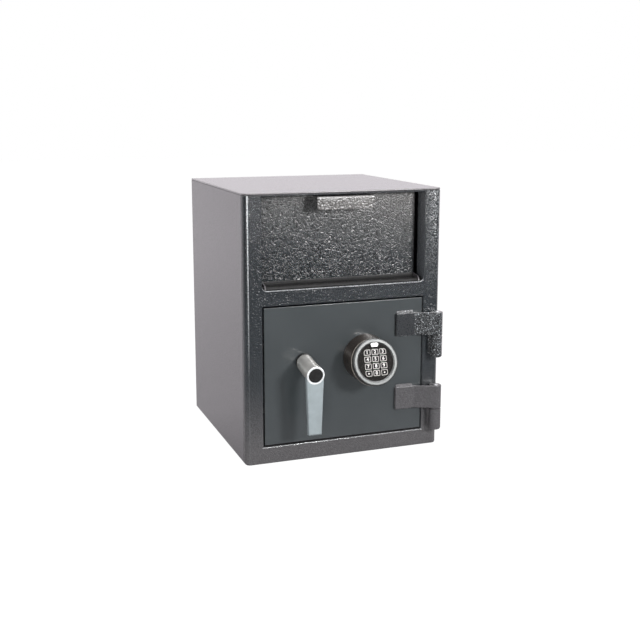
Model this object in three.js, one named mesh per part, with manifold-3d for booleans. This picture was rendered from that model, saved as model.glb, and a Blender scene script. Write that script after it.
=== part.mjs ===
// Drop safe: a tilting deposit hopper above a hinged cash door with a lever handle and a keypad lock.
// Millimetres, +Z up. The front faces -Y and the origin is the middle of the underside.
import * as THREE from 'three';
import { mergeVertices } from 'three/addons/utils/BufferGeometryUtils.js';
import Module from 'manifold-3d';

const wasm = await Module();
wasm.setup();

// Clearances shared by all pieces
const seam = 0.2;
const slip = 0.3;
const overrun = 1;

// Safe body
const bodyWidth = 350;
const bodyDepth = 350;
const bodyHeight = 450;
const sheet = 3;
const edgeRadius = 10;
const cornerRadius = 4;
const stileWidth = 31;
const bottomRail = 28.5;
const midRail = 26;
const topRail = 3;
const doorOpeningShare = 475 / 779;
const frameLip = 12;
const jambDepth = 29;
const sillDepth = 5;
const hopperCornerRadius = 8;
const jambFoot = 10;

// Fixing holes in the base
const fixingHoleRadius = 7;
const fixingHoleSpacing = 200;
const plugHeadRadius = 9;
const plugHeadHeight = 1.6;
const plugStemHeight = 3.7;

// Hopper
const hopperGap = 2.5;
const hopperSideGap = 3;
const hopperRecess = 30;
const hopperSheet = 2.5;
const hopperEdgeRadius = 5;
const hopperFlange = 12;
const hopperToeRadius = 7;
const hopperToeRise = 5;
const hopperToeReach = 10;
const pivotRadius = 4.5;
const pivotSetback = 14;
const pivotBearing = 1.5;
const earRadius = 8.3;
const traySheet = 2;
const traySlope = 14 * Math.PI / 180;
const trayLegHeight = 32;
const hopperOpenAngle = 50 * Math.PI / 180;
const sweepGap = 1;
const baffleGap = 3.4;
const stopWidth = 120;
const stopDrop = 13;
const angleLeg = 16;
const lipWidth = 100;
const lipHeight = 21.5;
const lipReach = 32;
const lipSheet = 2;
const lipBendRadius = 3;
const lipCornerRadius = 5;
const throatGap = 2;
const deflectorDrop = 32;
const deflectorRise = 68;
const throatDepth = 82;

// Door
const doorGap = 2.5;
const doorBottomGap = 3.5;
const doorThickness = 8;
const handleInset = 67.5;
const lockLineShare = 283 / 475;
const keypadPlaceShare = 219 / 430;

// Hinges
const hingeInset = 10.5;
const barrelRadius = 10.5;
const pinRadius = 5;
const strapThickness = 5.5;
const strapReach = 73;
const strapBendReach = 38;
const strapHeight = 39;
const barrelHeight = 41.3;
const knuckleHeight = 37.3;
const knuckleGap = 1;
const weldFootHalf = 7;
const upperHingeDrop = 106.3;
const lowerHingeRise = 1.7;
const pinProud = 1;

// Bolt work behind the door plate
const panSheet = 1.5;
const panDepth = 43;
const panLeftInset = 20.5;
const panRightInset = 24.5;
const panFlange = 12;
const panTopInset = 17.5;
const panBottomInset = 18.5;
const screwHeadRadius = 4.5;
const screwHeadHeight = 2.6;
const screwShankRadius = 2.4;
const screwShankLength = 7;
const screwInset = 40;
const boltRadius = 8;
const boltSetback = 39;
const crankArm = 14;
const boltTurnHalf = 40 * Math.PI / 180;
const boltTipInset = 5.5;
const boltLength = 35.5;
const boltInset = 42;
const boltMargin = 20;
const guideInset = 11.5;
const guideSheet = 4;
const carriageWidth = 50;
const carriageThickness = 5;
const tongueHeight = 18;
const tongueGap = 6;
const crankThickness = 5.8;
const crankPinRadius = 3;
const crankHubRadius = 9;
const slotClearance = 0.8;
const spindleRadius = 5;
const spindleGrip = 24;
const bushWall = 2.6;
const bushFlangeRadius = 12;
const bushFlangeHeight = 2;
const caseWidth = 84;
const caseHeight = 62;
const caseDepth = 36;
const caseOverlap = 42;
const lockBoltWidth = 9;
const lockBoltHeight = 16;
const lockBoltLength = 36;
const lockBoltProud = 4.5;
const lockPocketDepth = 40;
const deadBarThickness = 8;
const deadBarReach = 14.5;
const deadBarEndInset = 25;
const deadBarGap = 6;
const deadBarInset = 8.5;

// Lever handle
const headDrop = 9.5;
const headRadius = 15.2;
const bladeThickness = 9;
const headProud = 2;
const headTilt = 6 * Math.PI / 180;
const capRadius = 11.8;
const capThickness = 2.4;
const capSink = 0.4;
const hubRearRadius = 14.3;
const hubFrontRadius = 14.8;
const hubLength = 50.6;
const bladeLength = 100;
const bladeEndWidth = 22;

// Keypad
const keypadRadius = 39.5;
const keypadTilt = 15 * Math.PI / 180;
const keypadDrop = 1.4;
const housingLength = 41;
const housingWall = 3;
const housingBack = 3.7;
const grooveWidth = 1.2;
const grooveDepth = 0.8;
const bezelLength = 6.8;
const bezelRound = 2.6;
const plateRadius = 31;
const plateThickness = 2;
const plateSetback = 2;
const ledgeWidth = 2.6;
const boardThickness = 1.6;
const cableRadius = 2;
const cableHoleRadius = 5;
const keyWidth = 12;
const keyHeight = 9.8;
const keyPitchX = 14;
const keyPitchZ = 11.6;
const keyRowsDrop = 0.4;
const keyLength = 5.2;
const keyProud = 1.2;
const keyCorner = 1.6;
const keyOuterCorner = 4.6;
const keyTravel = 1;
const tabTopWidth = 17.6;
const tabBottomWidth = 14.4;
const tabHeight = 7.2;
const tabProud = 1.4;
const batteryWidth = 46;
const batteryHeight = 17;
const batteryLength = 26;
const batteryDrop = 14;

// Steps around a full round, by how large the round is
const fineSteps = 48;
const roundSteps = 32;
const smallSteps = 16;
const bendSteps = 3;
const cornerSteps = 2;
const mergeDistance = seam / 1000;

// Places worked out from the sizes
const frontY = -bodyDepth / 2;
const rearY = bodyDepth / 2;
const halfWidth = bodyWidth / 2;
const innerHalf = halfWidth - sheet;
const openingHalf = halfWidth - stileWidth;
const wallTop = bodyHeight - sheet - seam;
const hopperOpeningTop = bodyHeight - sheet - topRail;
const doorOpeningHeight = (hopperOpeningTop - midRail - bottomRail) * doorOpeningShare;
const doorOpeningTop = bottomRail + doorOpeningHeight;
const hopperOpeningBottom = doorOpeningTop + midRail;
const jambEnd = frontY + jambDepth;

const pivotY = frontY + pivotSetback;
const pivotZ = hopperOpeningBottom;
const faceY = frontY + hopperRecess;
const faceBack = faceY + hopperSheet;
const faceTop = hopperOpeningTop - hopperGap;
const faceHalf = openingHalf - hopperSideGap;
const trayRadius = hopperOpeningTop - pivotZ - sweepGap;
const sideOuter = faceHalf - hopperSheet - slip;
const sideInner = sideOuter - traySheet;
const apronEnd = pivotY + trayRadius + throatGap;

const doorHalf = openingHalf - doorGap;
const doorBottom = bottomRail + doorBottomGap;
const doorTop = doorOpeningTop - doorGap;
const doorBack = frontY + doorThickness;
const lockLineHeight = bottomRail + doorOpeningHeight * lockLineShare;
const handleX = -doorHalf + handleInset;
const keypadX = handleX + (doorHalf - handleX) * keypadPlaceShare;
const keypadZ = lockLineHeight - keypadDrop;

const hingeX = halfWidth - hingeInset;
const hingeY = frontY - slip - barrelRadius;
const hingeBases = { upper: doorOpeningTop - upperHingeDrop, lower: bottomRail + lowerHingeRise };

const hubBack = frontY - slip - slip;
const headBack = hubBack - hubLength + headProud;
const headFront = headBack - bladeThickness - headProud;
const headZ = lockLineHeight - headDrop;

const boltY = frontY + boltSetback;
const crankPinX = handleX + crankArm * Math.sin(boltTurnHalf);
const crankPinZ = lockLineHeight - crankArm * Math.cos(boltTurnHalf);
const boltTipX = -doorHalf + boltTipInset;
const carriageLeft = boltTipX + boltLength + slip;
const carriageRight = carriageLeft + carriageWidth;
const caseLeft = keypadX - caseOverlap;
const tongueEnd = caseLeft - tongueGap;
const housingFront = frontY - slip - housingLength;
const keypadFront = housingFront - slip - bezelLength;
const plateFront = keypadFront + plateSetback;
const keyFront = plateFront - keyProud;
const boardFront = keyFront + keyLength + keyTravel + slip;

const panLeft = -doorHalf + panLeftInset;
const panRight = doorHalf - panRightInset;
const panTop = doorTop - panTopInset;
const panBottom = doorBottom + panBottomInset;
const boltHeights = [panBottom + boltInset, panTop - boltInset];
const carriageBottom = boltHeights[0] - boltMargin;
const carriageTop = boltHeights[1] + boltMargin;
const screwPlaces = [panLeft + screwInset, panRight - screwInset].flatMap(
  (x) => [panBottom - panFlange / 2, panTop + panFlange / 2].map((z) => [x, z]),
);

// The keys by row, each row counted in pitches down from the middle of the pad
const keyNames = [['1', '2', '3'], ['4', '5', '6'], ['7', '8', '9'], ['left', '0', 'right']];
const keys = keyNames.flatMap((names, line) => names.map((name, place) => ({
  name, column: place - (names.length - 1) / 2, row: line - (keyNames.length - 1) / 2,
})));

// Finishes
const hammered = new THREE.MeshStandardMaterial({ color: 0x55585b, roughness: 0.38, metalness: 0.35 });
const satinPaint = new THREE.MeshStandardMaterial({ color: 0x53595c, roughness: 0.45, metalness: 0.2 });
const zincSteel = new THREE.MeshStandardMaterial({ color: 0xb9bcc0, roughness: 0.35, metalness: 0.9 });
const satinChrome = new THREE.MeshStandardMaterial({ color: 0xb6bdbf, roughness: 0.3, metalness: 0.9 });
const blackPlastic = new THREE.MeshStandardMaterial({ color: 0x1b1a19, roughness: 0.4, metalness: 0 });
const darkHousing = new THREE.MeshStandardMaterial({ color: 0x37322e, roughness: 0.3, metalness: 0.5 });
const greenBoard = new THREE.MeshStandardMaterial({ color: 0x1f5a33, roughness: 0.6, metalness: 0 });
const brass = new THREE.MeshStandardMaterial({ color: 0xb08d4c, roughness: 0.35, metalness: 0.9 });

// Solid joins and cuts
function toSolid(geometry) {
  const plain = geometry.index ? geometry.toNonIndexed() : geometry.clone();
  plain.deleteAttribute('normal');
  plain.deleteAttribute('uv');
  const merged = mergeVertices(plain, mergeDistance);
  return new wasm.Manifold(new wasm.Mesh({
    numProp: 3,
    vertProperties: Float32Array.from(merged.attributes.position.array),
    triVerts: Uint32Array.from(merged.index.array),
  }));
}

function toGeometry(solid) {
  const mesh = solid.getMesh();
  const geometry = new THREE.BufferGeometry();
  geometry.setAttribute('position', new THREE.BufferAttribute(Float32Array.from(mesh.vertProperties), 3));
  geometry.setIndex(new THREE.BufferAttribute(Uint32Array.from(mesh.triVerts), 1));
  const faceted = geometry.toNonIndexed();
  faceted.computeVertexNormals();
  return faceted;
}

function join(...geometries) {
  return toGeometry(geometries.map(toSolid).reduce((total, next) => total.add(next)));
}

function cut(geometry, ...tools) {
  return toGeometry(tools.map(toSolid).reduce((total, tool) => total.subtract(tool), toSolid(geometry)));
}

function keepWithin(geometry, tool) {
  return toGeometry(toSolid(geometry).intersect(toSolid(tool)));
}

function hullOf(...geometries) {
  return toGeometry(wasm.Manifold.hull(geometries.map(toSolid)));
}

// Basic forms, each given by its limits along the axes
function box(x0, x1, y0, y1, z0, z1) {
  const geometry = new THREE.BoxGeometry(x1 - x0, y1 - y0, z1 - z0);
  return geometry.translate((x0 + x1) / 2, (y0 + y1) / 2, (z0 + z1) / 2);
}

function extrude(shape, depth, steps) {
  return new THREE.ExtrudeGeometry(shape, { depth, bevelEnabled: false, curveSegments: steps });
}

// A shape drawn in X and Y, standing from z0 to z1
function standing(shape, z0, z1, steps = bendSteps) {
  return extrude(shape, z1 - z0, steps).translate(0, 0, z0);
}

// A shape drawn in X and Z, running from y0 back to y1
function running(shape, y0, y1, steps = bendSteps) {
  return extrude(shape, y1 - y0, steps).rotateX(Math.PI / 2).translate(0, y1, 0);
}

// A shape drawn in Y and Z, spanning from x0 to x1
function spanning(shape, x0, x1, steps = bendSteps) {
  const turn = new THREE.Matrix4().makeBasis(
    new THREE.Vector3(0, 1, 0),
    new THREE.Vector3(0, 0, 1),
    new THREE.Vector3(1, 0, 0),
  );
  return extrude(shape, x1 - x0, steps).applyMatrix4(turn).translate(x0, 0, 0);
}

function rodAlongX(y, z, radius, x0, x1, steps = roundSteps) {
  const geometry = new THREE.CylinderGeometry(radius, radius, x1 - x0, steps);
  return geometry.rotateZ(Math.PI / 2).translate((x0 + x1) / 2, y, z);
}

function rodAlongY(x, z, radius, y0, y1, steps = roundSteps) {
  const geometry = new THREE.CylinderGeometry(radius, radius, y1 - y0, steps);
  return geometry.translate(x, (y0 + y1) / 2, z);
}

function rodAlongZ(x, y, radius, z0, z1, steps = roundSteps) {
  const geometry = new THREE.CylinderGeometry(radius, radius, z1 - z0, steps);
  return geometry.rotateX(Math.PI / 2).translate(x, y, (z0 + z1) / 2);
}

// Tips a piece about a line along X, so that its front turns up by the angle
function tipped(geometry, angle, y, z) {
  return geometry.translate(0, -y, -z).rotateX(-angle).translate(0, y, z);
}

// A closed profile of [radius, y] pairs, listed front first along the outside, turned about a line along Y
function turnedAlongY(profile, x, z, steps = fineSteps) {
  const points = profile.map(([radius, y]) => new THREE.Vector2(radius, y));
  return new THREE.LatheGeometry(points, steps).translate(x, 0, z);
}

function polygon(points) {
  const shape = new THREE.Shape();
  points.forEach(([a, b], index) => (index ? shape.lineTo(a, b) : shape.moveTo(a, b)));
  shape.closePath();
  return shape;
}

// A rectangle whose corners have their own radii, in the order bottom left, bottom right, top right, top left
function roundedRect(a0, a1, b0, b1, [r0, r1, r2, r3]) {
  const shape = new THREE.Shape();
  shape.moveTo(a0 + r0, b0);
  shape.lineTo(a1 - r1, b0);
  if (r1) shape.absarc(a1 - r1, b0 + r1, r1, -Math.PI / 2, 0, false);
  shape.lineTo(a1, b1 - r2);
  if (r2) shape.absarc(a1 - r2, b1 - r2, r2, 0, Math.PI / 2, false);
  shape.lineTo(a0 + r3, b1);
  if (r3) shape.absarc(a0 + r3, b1 - r3, r3, Math.PI / 2, Math.PI, false);
  shape.lineTo(a0, b0 + r0);
  if (r0) shape.absarc(a0 + r0, b0 + r0, r0, Math.PI, Math.PI * 1.5, false);
  return shape;
}

function circle(a, b, radius) {
  const shape = new THREE.Shape();
  shape.absarc(a, b, radius, 0, Math.PI * 2, false);
  return shape;
}

const safe = new THREE.Group();

function add(name, geometry, material, parent = safe) {
  const mesh = new THREE.Mesh(geometry, material);
  mesh.name = name;
  parent.add(mesh);
  return mesh;
}

// The outside of the front, bent along its side and bottom edges, drawn in by the given amount
function frontBlock(inset) {
  const edge = edgeRadius - inset;
  const corner = cornerRadius - inset;
  const face = frontY + inset;
  const back = frontY + frameLip + frameLip;
  const half = halfWidth - inset;
  const top = bodyHeight + bodyHeight;
  const plan = standing(roundedRect(-half, half, face, back, [edge, edge, 0, 0]), inset, top);
  const facing = running(roundedRect(-half, half, inset, top, [corner, corner, 0, 0]), face, back);
  const profile = spanning(roundedRect(face, back, inset, top, [corner, 0, 0, 0]), -half, half);
  return keepWithin(keepWithin(plan, facing), profile);
}

function makeFrontFrame() {
  const plateBack = frontY + sheet;
  const root = plateBack - sheet / 2;
  const limits = box(-bodyWidth, bodyWidth, frontY - overrun, frontY + frameLip, -overrun, wallTop);
  let frame = cut(keepWithin(frontBlock(0), limits), frontBlock(sheet));
  const jambs = [-1, 1].map((side) => {
    const x0 = side > 0 ? openingHalf : -openingHalf - sheet;
    return box(x0, x0 + sheet, root, jambEnd, jambFoot, wallTop);
  });
  const reach = openingHalf + sheet / 2;
  const doorHead = box(-reach, reach, root, jambEnd, doorOpeningTop, doorOpeningTop + sheet);
  const doorSill = box(-reach, reach, root, jambEnd, bottomRail - sheet, bottomRail);
  const hopperSill = box(
    -reach, reach, root, frontY + sillDepth, pivotZ - sheet, pivotZ + hopperCornerRadius,
  );
  const hopperHead = box(-reach, reach, root, frontY + frameLip, hopperOpeningTop, wallTop);
  frame = join(frame, ...jambs, doorHead, doorSill, hopperSill, hopperHead);
  const doorHole = box(
    -openingHalf, openingHalf, frontY - overrun, jambEnd + overrun, bottomRail, doorOpeningTop,
  );
  const hopperHole = running(
    roundedRect(-openingHalf, openingHalf, pivotZ, hopperOpeningTop, [
      hopperCornerRadius, hopperCornerRadius, 0, 0,
    ]),
    frontY - overrun, frontY + sillDepth + overrun,
  );
  const holeHalf = openingHalf + sheet + overrun;
  const rodHole = rodAlongX(pivotY, pivotZ, pivotRadius + slip, -holeHalf, holeHalf, smallSteps);
  return cut(frame, doorHole, hopperHole, rodHole);
}

function makeBodyWrap() {
  const inner = cornerRadius - sheet;
  const outline = new THREE.Shape();
  outline.moveTo(-halfWidth, wallTop);
  outline.lineTo(-halfWidth, cornerRadius);
  outline.absarc(-halfWidth + cornerRadius, cornerRadius, cornerRadius, Math.PI, Math.PI * 1.5, false);
  outline.absarc(halfWidth - cornerRadius, cornerRadius, cornerRadius, -Math.PI / 2, 0, false);
  outline.lineTo(halfWidth, wallTop);
  outline.lineTo(innerHalf, wallTop);
  outline.absarc(innerHalf - inner, sheet + inner, inner, 0, -Math.PI / 2, true);
  outline.absarc(-innerHalf + inner, sheet + inner, inner, Math.PI * 1.5, Math.PI, true);
  outline.lineTo(-innerHalf, wallTop);
  const wrap = running(outline, frontY + frameLip + seam, rearY);
  const holes = [-1, 1].map((side) => rodAlongZ(
    side * fixingHoleSpacing / 2, 0, fixingHoleRadius, -overrun, sheet + overrun, smallSteps,
  ));
  return cut(wrap, ...holes);
}

function makeTopPanel() {
  const outline = roundedRect(-halfWidth, halfWidth, frontY, rearY, [edgeRadius, edgeRadius, 0, 0]);
  return standing(outline, bodyHeight - sheet, bodyHeight);
}

function makeBackPanel() {
  const corner = cornerRadius - sheet;
  const outline = roundedRect(-innerHalf + seam, innerHalf - seam, sheet + seam, wallTop, [
    corner, corner, 0, 0,
  ]);
  return running(outline, rearY - sheet, rearY);
}

function makeChuteApron() {
  const top = doorOpeningTop + sheet + seam;
  const front = frontY + sheet + seam;
  const start = jambEnd + seam;
  const fall = Math.tan(traySlope);
  const slopeTo = (y) => polygon([
    [start, top],
    [y, top - (y - start) * fall],
    [y, top + traySheet - (y - start) * fall],
    [start, top + traySheet],
  ]);
  const leg = polygon([[front, top], [start, top], [start, top + traySheet], [front, top + traySheet]]);
  const legs = join(
    spanning(leg, -openingHalf + slip, openingHalf - slip),
    spanning(slopeTo(start + sheet), -openingHalf + slip, openingHalf - slip),
  );
  return join(legs, spanning(slopeTo(apronEnd), -innerHalf + slip, innerHalf - slip));
}

function makeRearDeflector() {
  const back = rearY - sheet - seam;
  const low = pivotZ - deflectorDrop;
  const front = apronEnd + throatDepth;
  return spanning(polygon([
    [front, low],
    [back - traySheet, low + deflectorRise],
    [back - traySheet, low + deflectorRise + angleLeg],
    [back, low + deflectorRise + angleLeg],
    [back, low + deflectorRise - traySheet / 2],
    [front, low - traySheet],
  ]), -innerHalf + slip, innerHalf - slip);
}

function makeTopBaffle() {
  const rest = hopperOpenAngle - traySlope;
  const y = pivotY + (trayRadius + baffleGap) * Math.cos(rest);
  const z = pivotZ + (trayRadius + baffleGap) * Math.sin(rest);
  const top = wallTop;
  return spanning(polygon([
    [y, z], [y + traySheet, z], [y + traySheet, top - traySheet], [y + angleLeg, top - traySheet],
    [y + angleLeg, top], [y, top],
  ]), -innerHalf + slip, innerHalf - slip);
}

function makeHopperStop() {
  const y = faceBack + slip;
  const top = wallTop;
  return spanning(polygon([
    [y, top - stopDrop], [y + traySheet, top - stopDrop], [y + traySheet, top - traySheet],
    [y + angleLeg, top - traySheet], [y + angleLeg, top], [y, top],
  ]), -stopWidth / 2, stopWidth / 2);
}

// Hinge outline in plan: barrel round the pin, with the strap's arm or a short weld foot
function barrelOutline(withStrap) {
  const outline = new THREE.Shape();
  const doorFace = frontY - slip;
  if (withStrap) {
    const bendX = hingeX - strapBendReach;
    const strapFace = doorFace - strapThickness;
    const reachY = strapFace - hingeY;
    const span = Math.hypot(strapBendReach, reachY);
    const lean = Math.asin(barrelRadius / span) + Math.atan2(reachY, strapBendReach);
    const tangent = -Math.PI / 2 - lean;
    const inner = barrelRadius - strapThickness;
    const backAngle = tangent - Math.acos(inner / barrelRadius) + Math.PI * 2;
    const backBendX = bendX + strapThickness * Math.tan(lean / 2);
    outline.moveTo(hingeX - strapReach, doorFace);
    outline.lineTo(hingeX - strapReach, strapFace);
    outline.lineTo(bendX, strapFace);
    outline.absarc(hingeX, hingeY, barrelRadius, tangent, backAngle, false);
    outline.lineTo(backBendX, doorFace);
    outline.closePath();
  } else {
    const angle = Math.acos(weldFootHalf / barrelRadius);
    outline.moveTo(hingeX + weldFootHalf, doorFace);
    outline.lineTo(hingeX - weldFootHalf, doorFace);
    outline.absarc(hingeX, hingeY, barrelRadius, Math.PI - angle, angle + Math.PI * 2, false);
    outline.closePath();
  }
  outline.holes.push(circle(hingeX, hingeY, pinRadius + slip));
  return outline;
}

function makeHopperFace() {
  const flatHalf = faceHalf - hopperEdgeRadius;
  const toeTop = pivotZ + hopperToeRise;
  const bendY = faceY - hopperToeRadius;
  const bendZ = toeTop + hopperToeRadius;
  const outer = hopperToeRadius + hopperSheet;
  const profile = new THREE.Shape();
  profile.moveTo(faceY, faceTop);
  profile.lineTo(faceY, bendZ);
  profile.absarc(bendY, bendZ, hopperToeRadius, 0, -Math.PI / 2, true);
  profile.lineTo(faceY - hopperToeReach, toeTop);
  profile.lineTo(faceY - hopperToeReach, toeTop - hopperSheet);
  profile.absarc(bendY, bendZ, outer, -Math.PI / 2, 0, false);
  profile.lineTo(faceBack, faceTop);
  profile.closePath();
  const panel = spanning(profile, -flatHalf, flatHalf);
  const rims = [-1, 1].map((side) => {
    const x = side * faceHalf;
    const flat = side * flatHalf;
    const flangeEnd = faceY + hopperFlange;
    const rim = new THREE.Shape();
    rim.moveTo(flat - side * overrun, faceY);
    if (side > 0) {
      rim.absarc(flat, faceY + hopperEdgeRadius, hopperEdgeRadius, -Math.PI / 2, 0, false);
    } else {
      rim.absarc(flat, faceY + hopperEdgeRadius, hopperEdgeRadius, -Math.PI / 2, Math.PI, true);
    }
    rim.lineTo(x, flangeEnd);
    rim.lineTo(x - side * hopperSheet, flangeEnd);
    rim.lineTo(x - side * hopperSheet, faceY + hopperEdgeRadius);
    rim.absarc(
      flat, faceY + hopperEdgeRadius, hopperEdgeRadius - hopperSheet,
      side > 0 ? 0 : Math.PI, side > 0 ? -Math.PI / 2 : Math.PI * 1.5, side > 0,
    );
    rim.lineTo(flat - side * overrun, faceBack);
    rim.closePath();
    return standing(rim, bendZ, faceTop);
  });
  return join(panel, ...rims);
}

function makeHopperLip() {
  const back = faceY - seam;
  const front = faceY - lipReach;
  const top = faceTop;
  const low = top - lipHeight;
  const inner = lipBendRadius - lipSheet;
  const profile = new THREE.Shape();
  profile.moveTo(back, top);
  profile.lineTo(front + lipBendRadius, top);
  profile.absarc(front + lipBendRadius, top - lipBendRadius, lipBendRadius, Math.PI / 2, Math.PI, false);
  profile.lineTo(front, low);
  profile.lineTo(front + lipSheet, low);
  profile.lineTo(front + lipSheet, top - lipBendRadius);
  profile.absarc(front + lipBendRadius, top - lipBendRadius, inner, Math.PI, Math.PI / 2, true);
  profile.lineTo(back, top - lipSheet);
  profile.closePath();
  const outline = roundedRect(-lipWidth / 2, lipWidth / 2, low, top + overrun, [
    lipCornerRadius, lipCornerRadius, 0, 0,
  ]);
  return keepWithin(
    spanning(profile, -lipWidth / 2, lipWidth / 2),
    running(outline, front - overrun, back + overrun),
  );
}

function makeHopperSide(side) {
  const back = faceY + hopperEdgeRadius + slip;
  const faceAngle = Math.acos((back - pivotY) / trayRadius);
  const toeZ = pivotZ + hopperToeRise + hopperToeRadius - slip;
  const toeAngle = Math.atan2(toeZ - pivotZ, back - pivotY) + Math.acos(earRadius / Math.hypot(
    toeZ - pivotZ, back - pivotY,
  ));
  const floorAngle = -traySlope - Math.asin(earRadius / trayRadius);
  const outline = new THREE.Shape();
  outline.absarc(pivotY, pivotZ, trayRadius, floorAngle, faceAngle, false);
  outline.lineTo(back, toeZ);
  outline.absarc(pivotY, pivotZ, earRadius, toeAngle, Math.PI * 1.5 - traySlope, false);
  outline.closePath();
  outline.holes.push(circle(pivotY, pivotZ, pivotRadius + slip));
  const x0 = side > 0 ? sideInner : -sideOuter;
  return spanning(outline, x0, x0 + traySheet, smallSteps);
}

function makeHopperFloor() {
  const back = faceBack + slip;
  const legTop = pivotZ + trayLegHeight;
  const fall = Math.tan(traySlope);
  const end = pivotY + (trayRadius - slip) * Math.cos(traySlope);
  const drop = traySheet / Math.cos(traySlope);
  return spanning(polygon([
    [back, legTop],
    [back, pivotZ - (back - pivotY) * fall - drop],
    [end, pivotZ - (end - pivotY) * fall - drop],
    [end, pivotZ - (end - pivotY) * fall],
    [back + traySheet, pivotZ - (back + traySheet - pivotY) * fall],
    [back + traySheet, legTop],
  ]), -sideInner + slip, sideInner - slip);
}

function makeDoorPlate() {
  const plate = box(-doorHalf, doorHalf, frontY, doorBack, doorBottom, doorTop);
  const spindleHole = rodAlongY(
    handleX, lockLineHeight, spindleRadius + slip + bushWall + slip, frontY - overrun, doorBack + overrun,
  );
  const cableHole = rodAlongY(
    keypadX, keypadZ, cableHoleRadius, frontY - overrun, doorBack + overrun, smallSteps,
  );
  const screwHoles = screwPlaces.map(([x, z]) => rodAlongY(
    x, z, screwShankRadius + slip, doorBack - screwShankLength, doorBack + overrun, smallSteps,
  ));
  return cut(plate, spindleHole, cableHole, ...screwHoles);
}

function makeDoorPan() {
  const front = doorBack + seam;
  const back = front + panDepth;
  const wall = box(panLeft, panRight, front, back, panBottom, panTop);
  const hollow = box(
    panLeft + panSheet, panRight - panSheet, front - overrun, back - panSheet,
    panBottom + panSheet, panTop - panSheet,
  );
  const flanges = [
    box(panLeft, panRight, front, front + panSheet, panTop - panSheet, panTop + panFlange),
    box(panLeft, panRight, front, front + panSheet, panBottom - panFlange, panBottom + panSheet),
  ];
  const boltHoles = boltHeights.map((z) => rodAlongX(
    boltY, z, boltRadius + slip * 2, panLeft - overrun, panLeft + panSheet + overrun,
  ));
  const screwHoles = screwPlaces.map(([x, z]) => rodAlongY(
    x, z, screwShankRadius + slip, front - overrun, front + panSheet + overrun, smallSteps,
  ));
  return cut(join(cut(wall, hollow), ...flanges), ...boltHoles, ...screwHoles);
}

function makeScrew([x, z]) {
  const seat = doorBack + seam + panSheet + seam;
  return join(
    rodAlongY(x, z, screwHeadRadius, seat, seat + screwHeadHeight, smallSteps),
    rodAlongY(x, z, screwShankRadius, doorBack - screwShankLength + slip, seat + overrun, smallSteps),
  );
}

function makeDeadBar() {
  const x0 = doorHalf - deadBarInset - deadBarThickness;
  const x1 = x0 + deadBarThickness;
  const y0 = jambEnd + deadBarGap;
  const y1 = y0 + deadBarThickness;
  const outline = polygon([
    [x0, doorBack + seam], [x1, doorBack + seam], [x1, y0], [doorHalf + deadBarReach, y0],
    [doorHalf + deadBarReach, y1], [x0, y1],
  ]);
  return standing(outline, doorBottom + deadBarEndInset, doorTop - deadBarEndInset);
}

function makeBoltGuide() {
  const x0 = -doorHalf + guideInset;
  const plate = box(
    x0, x0 + guideSheet, doorBack + seam, boltY + boltRadius + overrun + slip,
    carriageBottom, carriageTop,
  );
  return cut(plate, ...boltHeights.map((z) => rodAlongX(
    boltY, z, boltRadius + slip, x0 - overrun, x0 + guideSheet + overrun,
  )));
}

function makeSpindleBush() {
  const inner = spindleRadius + slip;
  const outer = inner + bushWall;
  const flangeFront = doorBack + seam;
  return turnedAlongY([
    [inner, frontY + slip], [outer, frontY + slip], [outer, flangeFront],
    [bushFlangeRadius, flangeFront], [bushFlangeRadius, flangeFront + bushFlangeHeight],
    [inner, flangeFront + bushFlangeHeight], [inner, frontY + slip],
  ], handleX, lockLineHeight, roundSteps);
}

function makeLockCase() {
  const front = doorBack + slip;
  const block = box(
    caseLeft, caseLeft + caseWidth, front, front + caseDepth,
    lockLineHeight - caseHeight / 2, lockLineHeight + caseHeight / 2,
  );
  return cut(block, lockBoltBox(caseLeft - overrun, caseLeft + lockPocketDepth, slip));
}

function lockBoltBox(x0, x1, grow) {
  return box(
    x0, x1, boltY - lockBoltWidth / 2 - grow, boltY + lockBoltWidth / 2 + grow,
    lockLineHeight - lockBoltHeight / 2 - grow, lockLineHeight + lockBoltHeight / 2 + grow,
  );
}

function makeCrank() {
  const front = boltY - carriageThickness / 2 - crankThickness - overrun;
  const back = front + crankThickness;
  const lean = Math.atan2(crankPinX - handleX, lockLineHeight - crankPinZ);
  const arm = new THREE.Shape();
  const pinBoss = crankPinRadius + bushWall;
  arm.absarc(handleX, lockLineHeight, crankHubRadius, lean, lean + Math.PI, false);
  arm.absarc(crankPinX, crankPinZ, pinBoss, lean + Math.PI, lean + Math.PI * 2, false);
  arm.closePath();
  arm.holes.push(circle(handleX, lockLineHeight, spindleRadius + slip));
  const pin = rodAlongY(
    crankPinX, crankPinZ, crankPinRadius, back - overrun, boltY + carriageThickness / 2 + overrun, smallSteps,
  );
  return join(running(arm, front, back, smallSteps / 2), pin);
}

function makeBoltCarriage() {
  const front = boltY - carriageThickness / 2;
  const back = boltY + carriageThickness / 2;
  const plate = box(carriageLeft, carriageRight, front, back, carriageBottom, carriageTop);
  const tongue = box(
    carriageRight - overrun, tongueEnd, front, back,
    lockLineHeight - tongueHeight / 2, lockLineHeight + tongueHeight / 2,
  );
  const half = crankPinRadius + slotClearance;
  const slot = running(roundedRect(
    crankPinX - half, crankPinX + half,
    lockLineHeight - crankArm - half, crankPinZ + half, [half, half, half, half],
  ), front - overrun, back + overrun);
  return cut(join(plate, tongue), slot);
}

// The lever's head faces down a little, in line with the drooping hub
function tipHead(geometry) {
  return tipped(geometry, -headTilt, headFront, headZ);
}

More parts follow.
